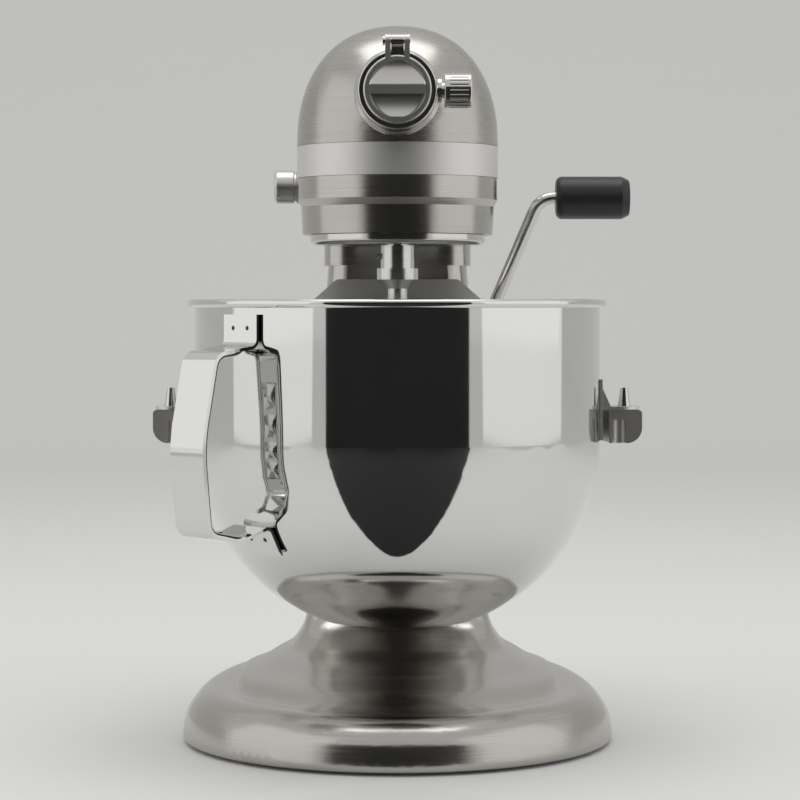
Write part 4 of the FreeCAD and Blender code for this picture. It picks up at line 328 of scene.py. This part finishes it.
GEAR_STEEL = Finish(
    "gear_steel", "gear_steel", low=(0.36, 0.36, 0.37), high=(0.50, 0.50, 0.51), roughness=0.32,
    roughness_spread=0.14, lay=Lay.ALL_WAYS, line_strength=0.08, line_depth=0.20 * MM)
BRONZE = Finish(
    "bronze", "bronze", low=(0.46, 0.31, 0.14), high=(0.60, 0.42, 0.20), roughness=0.34,
    roughness_spread=0.12, lay=Lay.ALL_WAYS, line_strength=0.08, line_depth=0.20 * MM)
MOTOR_STEEL = Finish(
    "motor_steel", "motor_steel", low=(0.28, 0.28, 0.29), high=(0.40, 0.40, 0.41), roughness=0.42,
    roughness_spread=0.14, lay=Lay.ALONG_MACHINE, line_strength=0.10, line_depth=0.20 * MM)
FERRITE = Finish(
    "ferrite", "magnet", low=(0.07, 0.07, 0.075), high=(0.14, 0.14, 0.15), roughness=0.62,
    roughness_spread=0.14, lay=Lay.ALL_WAYS, line_strength=0.20, line_depth=0.30 * MM, metallic=0.0)
COPPER = Finish(
    "copper", "copper", low=(0.62, 0.33, 0.19), high=(0.78, 0.46, 0.29), roughness=0.30,
    roughness_spread=0.12, lay=Lay.ALL_WAYS, line_strength=0.08, line_depth=0.20 * MM)
GRAPHITE = Finish(
    "graphite", "carbon", low=(0.035, 0.035, 0.04), high=(0.07, 0.07, 0.075), roughness=0.55,
    roughness_spread=0.12, lay=Lay.ALL_WAYS, line_strength=0.15, line_depth=0.20 * MM, metallic=0.0)
BOARD_GREEN = Finish(
    "board_green", "board", low=(0.02, 0.16, 0.07), high=(0.05, 0.26, 0.12), roughness=0.42,
    roughness_spread=0.10, lay=Lay.ALL_WAYS, line_strength=0.12, line_depth=0.20 * MM, metallic=0.0)
FAN_BLACK = Finish(
    "fan_black", "fan", low=(0.05, 0.05, 0.055), high=(0.10, 0.10, 0.105), roughness=0.48,
    roughness_spread=0.12, lay=Lay.ALL_WAYS, line_strength=0.08, line_depth=0.20 * MM, metallic=0.0)


@dataclass
class FinishShop:
    """Makes each finish once and puts it on solids and pieces."""

    made: dict[str, bpy.types.Material] = field(default_factory=dict)

    def coat(self, item: bpy.types.Object, finish: Finish) -> None:
        """Gives an object one finish.

        Args:
            item: the object.
            finish: its finish.
        """
        if finish.name not in self.made:
            self.made[finish.name] = finish.material()
        item.data.materials.clear()
        item.data.materials.append(self.made[finish.name])

    def piece(self, name: str, mesh: bmesh.types.BMesh, body: str, finish: Finish) -> None:
        """Turns a mesh into a finished piece that moves with a body.

        Args:
            name: the piece's name.
            mesh: its mesh, which is freed.
            body: the body that carries it.
            finish: its finish.
        """
        bmesh.ops.recalc_face_normals(mesh, faces=mesh.faces)
        item = put(name, smooth_mesh(name, mesh))
        self.coat(item, finish)
        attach(item, body)
        LOG.info("built %s", name)


@dataclass
class SubAssembly:
    """Some solids of the machine, by name under the finish of each."""

    finishes: dict[Finish, list[str]] = field(default_factory=dict)

    def dress(self, shop: FinishShop) -> None:
        """Puts the finishes on the solids.

        Args:
            shop: where the finishes are made.
        """
        for finish, names in self.finishes.items():
            for name in names:
                shop.coat(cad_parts[name], finish)
                LOG.info("%s has %s", name, finish.name)

    def build(self, shop: FinishShop) -> None:
        """Makes the pieces that the solids don't have; most groups have none."""

    def skin(self, mesh: bmesh.types.BMesh, rings: list[Ring], endless: bool = False) -> None:
        """Joins closed rings of points with faces.

        Args:
            mesh: the mesh that holds them.
            rings: rings of the same number of points.
            endless: whether the last ring joins the first, where both ends are closed otherwise.
        """
        for low, high in zip(rings, rings[1:] + rings[:1] if endless else rings[1:]):
            for side in range(len(low)):
                after = (side + 1) % len(low)
                mesh.faces.new((low[side], low[after], high[after], high[side]))
        if not endless:
            mesh.faces.new(rings[0])
            mesh.faces.new(rings[-1])


@dataclass
class Pedestal(SubAssembly):
    """The cast base with its column, feet and cord grommet."""

    finishes: dict[Finish, list[str]] = field(default_factory=lambda: {
        SHEER_NICKEL: ["pedestal"],
        BLACK_RUBBER: ["rubber_feet", "cord_grommet"]})


@dataclass
class Head(SubAssembly):
    """The housing over the motor and gears, with its band and rear cover."""

    finishes: dict[Finish, list[str]] = field(default_factory=lambda: {
        BRUSHED_NICKEL: ["upper_cover", "rear_cover"],
        SHEER_NICKEL: ["lower_housing"],
        SATIN_BAND: ["trim_band"],
        BRIGHT_PLATE: ["rear_cover_screw"],
        GEAR_STEEL: ["head_screws"]})


@dataclass(frozen=True)
class Scoop:
    """A hollow in the hub's cover.

    It reaches between two heights from the hub's centre, stands out by its rise at the lower one,
    and falls back to the recess's floor at the higher one, faster with more sharpness.
    """

    low: float
    high: float
    rise: float
    sharpness: float


@dataclass
class AttachmentHub(SubAssembly):
    """The front hub with its hinged cover, clamp knob and drive."""

    finishes: dict[Finish, list[str]] = field(default_factory=lambda: {
        BRIGHT_PLATE: ["attachment_hub", "hub_hinge_pin", "attachment_knob", "knob_screw"],
        COVER_PLATE: ["hub_cover"],
        GEAR_STEEL: ["attachment_shaft", "attachment_bevel"]})
    centre_height: float = 375.5 * MM
    recess_floor: float = MIXING_AXIS_Y - 82.6 * MM
    recess_radius: float = 14.8 * MM
    recess_depth: float = 2.0 * MM
    wall_lean: float = 0.5
    scoops: tuple[Scoop, ...] = (
        Scoop(2.3 * MM, 14.8 * MM, 2.8 * MM, 1.5),
        Scoop(-15.75 * MM, -2.3 * MM, 1.9 * MM, 2.0))
    scoop_proud: float = 0.05 * MM
    scoop_root: float = 0.4 * MM
    scoop_rows: int = 24
    scoop_columns: int = 28

    def build(self, shop: FinishShop) -> None:
        """Makes the two scoops of the cover, above and below its bar.

        Args:
            shop: where the finishes are made.
        """
        mesh = bmesh.new()
        for scoop in self.scoops:
            self.press(mesh, scoop)
        shop.piece("hub_cover_scoops", mesh, "hub_door", SCOOP_PLATE)

    def press(self, mesh: bmesh.types.BMesh, scoop: Scoop) -> None:
        """Adds a scoop that fills the recess to its wall.

        Args:
            mesh: the mesh that it joins.
            scoop: the scoop.
        """
        rings = []
        for row in range(self.scoop_rows + 1):
            share = row / self.scoop_rows
            height = scoop.low + (scoop.high - scoop.low) * share
            up = self.centre_height + height
            rise = scoop.rise * (1 - share) ** scoop.sharpness
            edge = self.recess_radius + self.wall_lean * min(rise, self.recess_depth)
            half = math.sqrt(max(edge * edge - height * height, self.scoop_root ** 2))
            front = []
            back = []
            for column in range(self.scoop_columns + 1):
                across = half * (2 * column / self.scoop_columns - 1)
                proud = self.recess_floor - rise - self.scoop_proud
                front.append(mesh.verts.new((across, proud, up)))
                back.append(mesh.verts.new((across, self.recess_floor + self.scoop_root, up)))
            rings.append(front + back[::-1])
        self.skin(mesh, rings)


@dataclass
class SpeedControl(SubAssembly):
    """The speed knob on its slider, and the board that reads it."""

    finishes: dict[Finish, list[str]] = field(default_factory=lambda: {
        COVER_PLATE: ["speed_knob"],
        GEAR_STEEL: ["speed_slider"],
        BOARD_GREEN: ["control_board"]})


@dataclass
class LiftLever(SubAssembly):
    """The lever that raises the bowl, with its grip, crank and bush."""

    finishes: dict[Finish, list[str]] = field(default_factory=lambda: {
        BRIGHT_PLATE: ["lift_lever"],
        BLACK_GRIP: ["lever_grip"],
        GEAR_STEEL: ["lift_crank"],
        BRONZE: ["lever_bush"]})


@dataclass
class BowlSupport(SubAssembly):
    """The arms that carry the bowl, with their slide, pins and latch."""

    finishes: dict[Finish, list[str]] = field(default_factory=lambda: {
        # The arms take the lighter copy of the nickel, whose colour holds painted light.
        LIT_ARM_NICKEL: ["bowl_support"],
        GEAR_STEEL: ["slide_keeper", "keeper_screws"],
        BRIGHT_PLATE: ["locating_pins", "bowl_latch"]})


@dataclass(frozen=True)
class Bend:
    """A corner of the handle or the rim: how far out from the mixing axis, how high and how round."""

    reach: float
    height: float
    rounding: float = 0.0

    def point(self) -> Vector:
        """The corner in a plane through the mixing axis."""
        return Vector((self.reach, 0.0, self.height))


@dataclass
class Bowl(SubAssembly):
    """The polished bowl with its rim and brackets, and the strap handle with its edges and welds."""

    finishes: dict[Finish, list[str]] = field(default_factory=lambda: {
        BOWL_STEEL: ["mixing_bowl"],
        MIRROR_STEEL: ["bowl_handle"],
        SATIN_STEEL: ["bowl_brackets", "bowl_rear_pin"]})
    azimuth: float = math.radians(223.3)
    strap_width: float = 28.0 * MM
    strap_thickness: float = 1.8 * MM
    bends: tuple[Bend, ...] = (
        Bend(125.8 * MM, 232.3 * MM),
        Bend(147.5 * MM, 229.6 * MM, 9.0 * MM),
        Bend(157.5 * MM, 180.0 * MM, 90.0 * MM),
        Bend(152.5 * MM, 131.0 * MM, 9.0 * MM),
        Bend(131.0 * MM, 126.4 * MM, 14.0 * MM),
        Bend(119.2 * MM, 130.4 * MM))
    strap_pitch: float = 1.5 * MM
    rim: tuple[Bend, ...] = (
        Bend(117.3 * MM, 254.75 * MM),
        Bend(121.85 * MM, 254.75 * MM, 2.05 * MM),
        Bend(121.85 * MM, 259.45 * MM, 2.05 * MM),
        Bend(116.55 * MM, 259.45 * MM, 2.05 * MM),
        Bend(116.55 * MM, 256.5 * MM))
    rim_steps: int = 240
    arc_steps: int = 12
    circle_sides: int = 14
    roll_radius: float = 2.0 * MM
    roll_end: float = 9.0 * MM
    grip_low: float = 146.0 * MM
    grip_high: float = 214.0 * MM
    grip_half_width: float = 8.5 * MM
    grip_pitch: float = 17.0 * MM
    grip_rise: float = 2.2 * MM
    grip_crown: float = 0.7
    grip_proud: float = 0.05 * MM
    grip_root: float = 0.4 * MM
    grip_rows: int = 14
    weld_radius: float = 1.35 * MM
    weld_rise: float = 0.3 * MM
    weld_half_gap: float = 6.0 * MM
    weld_rings: int = 6
    upper_weld: Bend = Bend(119.5 * MM, 243.5 * MM)
    lower_weld: Bend = Bend(106.6 * MM, 125.9 * MM)
    lower_lean: float = math.radians(-28.0)

    def build(self, shop: FinishShop) -> None:
        """Makes the bowl's rolled rim and the handle's rolled edges, finger grip and weld spots.

        Args:
            shop: where the finishes are made.
        """
        shop.piece("bowl_rolled_rim", self.rolled_rim(), "bowl", MIRROR_STEEL)
        route = self.even(self.rounded(self.bends), self.strap_pitch)
        rolls = bmesh.new()
        for side in (-1, 1):
            self.roll(rolls, route, side * (self.strap_width / 2 - self.roll_radius))
        shop.piece("handle_rolled_edges", rolls, "bowl", MIRROR_STEEL)
        shop.piece("handle_finger_grip", self.finger_grip(route), "bowl", MIRROR_STEEL)
        shop.piece("handle_weld_spots", self.welds(), "bowl", DARK_WELD)

    def handle_plane(self) -> Matrix:
        """The frame of the handle, with X out from the mixing axis."""
        return Matrix.Translation((0.0, MIXING_AXIS_Y, 0.0)) @ Matrix.Rotation(self.azimuth, 4, "Z")

    def circle(self, radius: float) -> list[tuple[float, float]]:
        """Even points round a circle of this radius."""
        turns = [FULL_TURN * side / self.circle_sides for side in range(self.circle_sides)]
        return [(radius * math.cos(turn), radius * math.sin(turn)) for turn in turns]

    def rolled_rim(self) -> bmesh.types.BMesh:
        """Makes the rolled edge round the top of the bowl.

        Returns:
            The new mesh.
        """
        mesh = bmesh.new()
        section = self.rounded(self.rim)
        axis = Vector((0.0, MIXING_AXIS_Y, 0.0))
        rings = []
        for step in range(self.rim_steps):
            turn = Matrix.Rotation(FULL_TURN * step / self.rim_steps, 3, "Z")
            rings.append([mesh.verts.new(axis + turn @ point) for point in section])
        self.skin(mesh, rings, endless=True)
        return mesh

    def rounded(self, bends: tuple[Bend, ...]) -> Path:
        """Rounds the corners of a line.

        Args:
            bends: the line's ends and corners.

        Returns:
            Points in the plane of the bends.
        """
        points = [bends[0].point()]
        for before, bend, after in zip(bends, bends[1:], bends[2:]):
            corner = bend.point()
            back = (before.point() - corner).normalized()
            on = (after.point() - corner).normalized()
            half = back.angle(on) / 2
            run = bend.rounding / math.tan(half)
            centre = corner + (back + on).normalized() * (bend.rounding / math.sin(half))
            start = (corner + back * run - centre).normalized()
            end = (corner + on * run - centre).normalized()
            for step in range(self.arc_steps + 1):
                points.append(centre + start.slerp(end, step / self.arc_steps) * bend.rounding)
        points.append(bends[-1].point())
        return points

    def even(self, points: Path, pitch: float) -> Path:
        """Spaces points evenly along a line.

        Args:
            points: the line's corners.
            pitch: about how far apart the new points are.

        Returns:
            The new points.
        """
        runs = [(high - low).length for low, high in zip(points, points[1:])]
        count = round(sum(runs) / pitch)
        spaced = []
        for step in range(count + 1):
            left = sum(runs) * step / count
            leg = 0
            while leg < len(runs) - 1 and left > runs[leg]:
                left -= runs[leg]
                leg += 1
            share = min(1.0, left / max(runs[leg], SHORTEST_RUN))
            spaced.append(points[leg].lerp(points[leg + 1], share))
        return spaced

    def inward(self, route: Path, place: int) -> Vector:
        """The direction from one of the strap's points into the finger gap, in the handle's plane."""
        along = route[min(place + 1, len(route) - 1)] - route[max(place - 1, 0)]
        return Vector((along.z, 0.0, -along.x)).normalized()

    def roll(self, mesh: bmesh.types.BMesh, route: Path, across: float) -> None:
        """Adds the rolled edge along one side of the strap, which tapers at both ends.

        Args:
            mesh: the mesh that it joins.
            route: the strap's middle line.
            across: the roll's place across the strap.
        """
        plane = self.handle_plane()
        pitch = (route[1] - route[0]).length
        rings = []
        for place, point in enumerate(route):
            from_end = pitch * min(place, len(route) - 1 - place) + pitch / 2
            radius = self.roll_radius * math.sin(min(1.0, from_end / self.roll_end) * QUARTER_TURN)
            inward = self.inward(route, place)
            middle = point + inward * (radius - self.strap_thickness / 2) + ACROSS * across
            rings.append([mesh.verts.new(plane @ (middle + inward * rise + ACROSS * side))
                          for rise, side in self.circle(radius)])
        self.skin(mesh, rings)

    def finger_grip(self, route: Path) -> bmesh.types.BMesh:
        """Makes the row of low waves on the inner face of the strap.

        Args:
            route: the strap's middle line.

        Returns:
            The new mesh.
        """
        plane = self.handle_plane()
        mesh = bmesh.new()
        places = [place for place, point in enumerate(route)
                  if self.grip_low < point.z < self.grip_high]
        waves = round((route[places[-1]] - route[places[0]]).length / self.grip_pitch)
        face = self.strap_thickness / 2
        rings = []
        for order, place in enumerate(places):
            wave = (1 - math.cos(FULL_TURN * waves * order / (len(places) - 1))) / 2
            inward = self.inward(route, place)
            top = []
            base = []
            for row in range(self.grip_rows + 1):
                share = 2 * row / self.grip_rows - 1
                crown = math.cos(share * QUARTER_TURN) ** self.grip_crown
                rise = self.grip_rise * wave * crown + self.grip_proud
                spot = route[place] + ACROSS * (share * self.grip_half_width)
                top.append(mesh.verts.new(plane @ (spot + inward * (face + rise))))
                base.append(mesh.verts.new(plane @ (spot + inward * (face - self.grip_root))))
            rings.append(top + base[::-1])
        self.skin(mesh, rings)
        return mesh

    def welds(self) -> bmesh.types.BMesh:
        """Makes the four weld spots.

        Returns:
            The new mesh.
        """
        mesh = bmesh.new()
        for weld, lean in ((self.upper_weld, 0.0), (self.lower_weld, self.lower_lean)):
            tilt = Matrix.Rotation(QUARTER_TURN - lean, 4, "Y")
            for side in (-1, 1):
                spot = Matrix.Translation((weld.reach, side * self.weld_half_gap, weld.height))
                self.dome(mesh, self.handle_plane() @ spot @ tilt)
        return mesh

    def dome(self, mesh: bmesh.types.BMesh, place: Matrix) -> None:
        """Adds one low round spot.

        Args:
            mesh: the mesh that it joins.
            place: its frame, with Z out of the tab.
        """
        rings = []
        for step in range(self.weld_rings):
            angle = QUARTER_TURN * step / self.weld_rings
            height = self.weld_rise * math.sin(angle)
            rings.append([mesh.verts.new(place @ Vector((*spot, height)))
                          for spot in self.circle(self.weld_radius * math.cos(angle))])
        self.skin(mesh, rings)


@dataclass
class GearDrive(SubAssembly):
    """The worm wheel, planetary and beater, with the dough hook."""

    finishes: dict[Finish, list[str]] = field(default_factory=lambda: {
        GEAR_STEEL: ["ring_gear", "centre_gear", "centre_shaft", "drive_pinion", "planet_pinion",
                     "drive_bevel", "gear_bracket"],
        BRONZE: ["worm_wheel", "gear_bushes", "beater_bush"],
        BRIGHT_PLATE: ["planetary_hub", "drip_ring", "beater_shaft", "beater_pin"],
        HOOK_STEEL: ["dough_hook"]})


@dataclass
class Motor(SubAssembly):
    """The motor behind the gears."""

    finishes: dict[Finish, list[str]] = field(default_factory=lambda: {
        MOTOR_STEEL: ["motor_case", "motor_end_bells", "motor_bearings", "armature_core"],
        FERRITE: ["field_magnets"],
        COPPER: ["commutator", "brush_holders"],
        GRAPHITE: ["carbon_brushes"],
        FAN_BLACK: ["cooling_fan"],
        GEAR_STEEL: ["motor_shaft"]})


@dataclass(frozen=True)
class SoftBox:
    """A rectangular lamp: where it stands, its width and height, and its power."""

    name: str
    place: Place
    size: tuple[float, float]
    watts: float


@dataclass
class Studio:
    """The floor sweep, dark cards that only reflections show and that paint dark reflections on the
    machine, the lamps, the sky and the camera.

    The camera's shift is in pixels of the picture.
    """

    pale: Colour = (0.82, 0.82, 0.81)
    # The colour of the reflection-only cards: a painted dark reflection, seen in the metal and
    # nowhere else.
    card: Colour = (0.012, 0.012, 0.012)
    matt: float = 0.8
    half_width: float = 14.0
    front: float = -12.0
    back: float = 2.6
    sweep: float = 1.1
    sweep_steps: int = 16
    sweep_top: float = 3.2
    card_y: float = -2.5
    card_half_width: float = 2.0
    card_top: float = 1.35
    floor_card_height: float = 1.0 * MM
    floor_card_tip: float = -0.205
    floor_card_round: float = 0.03
    floor_card_steps: int = 48
    floor_card_crowding: int = 3
    sky: float = 0.76
    eye_height: float = 0.259
    eye_back: float = 1.6635
    lens: float = 123.6
    sensor: float = 36.0
    shift: tuple[float, float] = (2.5, -100.0)
    aim: Place = (0.0, -0.06, 0.24)
    lamps: tuple[SoftBox, ...] = (
        SoftBox("left_box", (-1.8, -0.55, 0.95), (2.3, 1.9), 4.5),
        SoftBox("right_box", (1.8, -0.55, 0.95), (2.3, 1.9), 4.5),
        SoftBox("top_box", (0.0, 0.1, 2.0), (1.5, 1.2), 10.0))

    def surface(self, name: str, line: list[Triple], colour: Colour) -> bpy.types.Object:
        """Makes a matt stage surface.

        Args:
            name: the surface's name.
            line: how far each point of its line goes to both sides, and its Y and Z.
            colour: its colour.

        Returns:
            The new object.
        """
        made = bpy.data.materials.new(name)
        made.use_nodes = True
        shader = Shader(made.node_tree)
        plain = shader.node("ShaderNodeBsdfPrincipled", None,
                            {"Base Color": opaque(colour), "Roughness": self.matt})
        shader.finish("ShaderNodeOutputMaterial", plain)
        item = put(name, smooth_mesh(name, self.strip(line)))
        item.data.materials.append(made)
        return item

    def strip(self, line: list[Triple]) -> bmesh.types.BMesh:
        """Draws a line out to both sides.

        Args:
            line: how far each point goes to the sides, and its Y and Z.

        Returns:
            The new mesh.
        """
        mesh = bmesh.new()
        rows = []
        for half_width, y, z in line:
            rows.append([mesh.verts.new((side * half_width, y, z)) for side in (-1, 1)])
        for low, high in zip(rows, rows[1:]):
            mesh.faces.new((low[0], low[1], high[1], high[0]))
        return mesh

    def floor_line(self) -> list[Triple]:
        """The floor, and its curve up into the backdrop.

        Returns:
            Its half width, Y and Z from the front to the backdrop's top.
        """
        line = [(self.half_width, self.front, 0.0)]
        for step in range(self.sweep_steps + 1):
            angle = QUARTER_TURN * step / self.sweep_steps
            rise = self.sweep * (1 - math.cos(angle))
            line.append((self.half_width, self.back + self.sweep * math.sin(angle), rise))
        line.append((self.half_width, self.back + self.sweep, self.sweep_top))
        return line

    def floor_card_line(self) -> list[Triple]:
        """The reflection-only card on the floor, which paints a dark reflection down the bowl and the
        base where the floor is pale; it narrows from the front card to a round tip at the base.

        Returns:
            Its half width, Y and Z from the tip to the front card.
        """
        length = self.floor_card_tip - self.card_y
        spread = self.card_half_width / math.sqrt(length * (length + 2 * self.floor_card_round))
        line = []
        for step in range(self.floor_card_steps + 1):
            run = length * (step / self.floor_card_steps) ** self.floor_card_crowding
            half_width = spread * math.sqrt(run * (run + 2 * self.floor_card_round))
            line.append((max(half_width, self.floor_card_height), self.floor_card_tip - run,
                         self.floor_card_height))
        return line

    def reflection_only_card(self, name: str, line: list[Triple]) -> None:
        """Adds a dark card that shows in reflections and nowhere else: a painted dark reflection.

        Args:
            name: the card's name.
            line: its half width, Y and Z from edge to edge.
        """
        card = self.surface(name, line, self.card)
        card.visible_camera = False
        card.visible_diffuse = False
        card.visible_shadow = False

    def surroundings(self) -> None:
        """Sets a plain pale sky."""
        world = bpy.data.worlds.new("studio")
        bpy.context.scene.world = world
        world.use_nodes = True
        shader = Shader(world.node_tree)
        sky = shader.node("ShaderNodeBackground", None,
                          {"Color": opaque(self.pale), "Strength": self.sky})
        shader.finish("ShaderNodeOutputWorld", sky)

    def hang(self, box: SoftBox) -> None:
        """Adds a lamp that faces the machine.

        Args:
            box: the lamp.
        """
        data = bpy.data.lights.new(box.name, "AREA")
        data.shape = "RECTANGLE"
        data.size, data.size_y = box.size
        data.energy = box.watts
        towards = Vector(self.aim) - Vector(box.place)
        item = put(box.name, data)
        item.location = box.place
        item.rotation_euler = towards.to_track_quat("-Z", "Y").to_euler()

    def camera(self) -> None:
        """Sets the camera in front of the machine, level with the bowl's rim."""
        data = bpy.data.cameras.new("camera")
        data.lens = self.lens
        data.sensor_width = self.sensor
        data.shift_x = self.shift[0] / IMAGE_SIDE
        data.shift_y = self.shift[1] / IMAGE_SIDE
        item = put("camera", data)
        item.location = (0.0, -self.eye_back, self.eye_height)
        item.rotation_euler = (QUARTER_TURN, 0.0, 0.0)
        bpy.context.scene.camera = item

    def build(self) -> None:
        """Makes the whole studio."""
        self.surface("floor_sweep", self.floor_line(), self.pale)
        # Dark cards that only reflections show: painted dark reflections down the middle of the bowl,
        # base and housing.
        front_reflection_card = [(self.card_half_width, self.card_y, height) for height in (0.0, self.card_top)]
        self.reflection_only_card("front_reflection_card", front_reflection_card)
        self.reflection_only_card("floor_reflection_card", self.floor_card_line())
        self.surroundings()
        for box in self.lamps:
            self.hang(box)
        self.camera()
        bpy.context.scene.view_settings.view_transform = "Standard"
        LOG.info("set up the studio")


def main() -> None:
    """Dresses the machine, adds its small pieces and sets up the studio."""
    logging.basicConfig(level=logging.INFO, format="%(message)s")
    shop = FinishShop()
    groups: list[SubAssembly] = [
        Pedestal(), Head(), AttachmentHub(), SpeedControl(), LiftLever(), BowlSupport(), Bowl(),
        GearDrive(), Motor()]
    for group in groups:
        group.dress(shop)
        group.build(shop)
    dressed = sum(len(names) for group in groups for names in group.finishes.values())
    LOG.info("%d of %d solids are dressed", dressed, len(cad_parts))
    Studio().build()


if __name__ == "__main__":
    main()
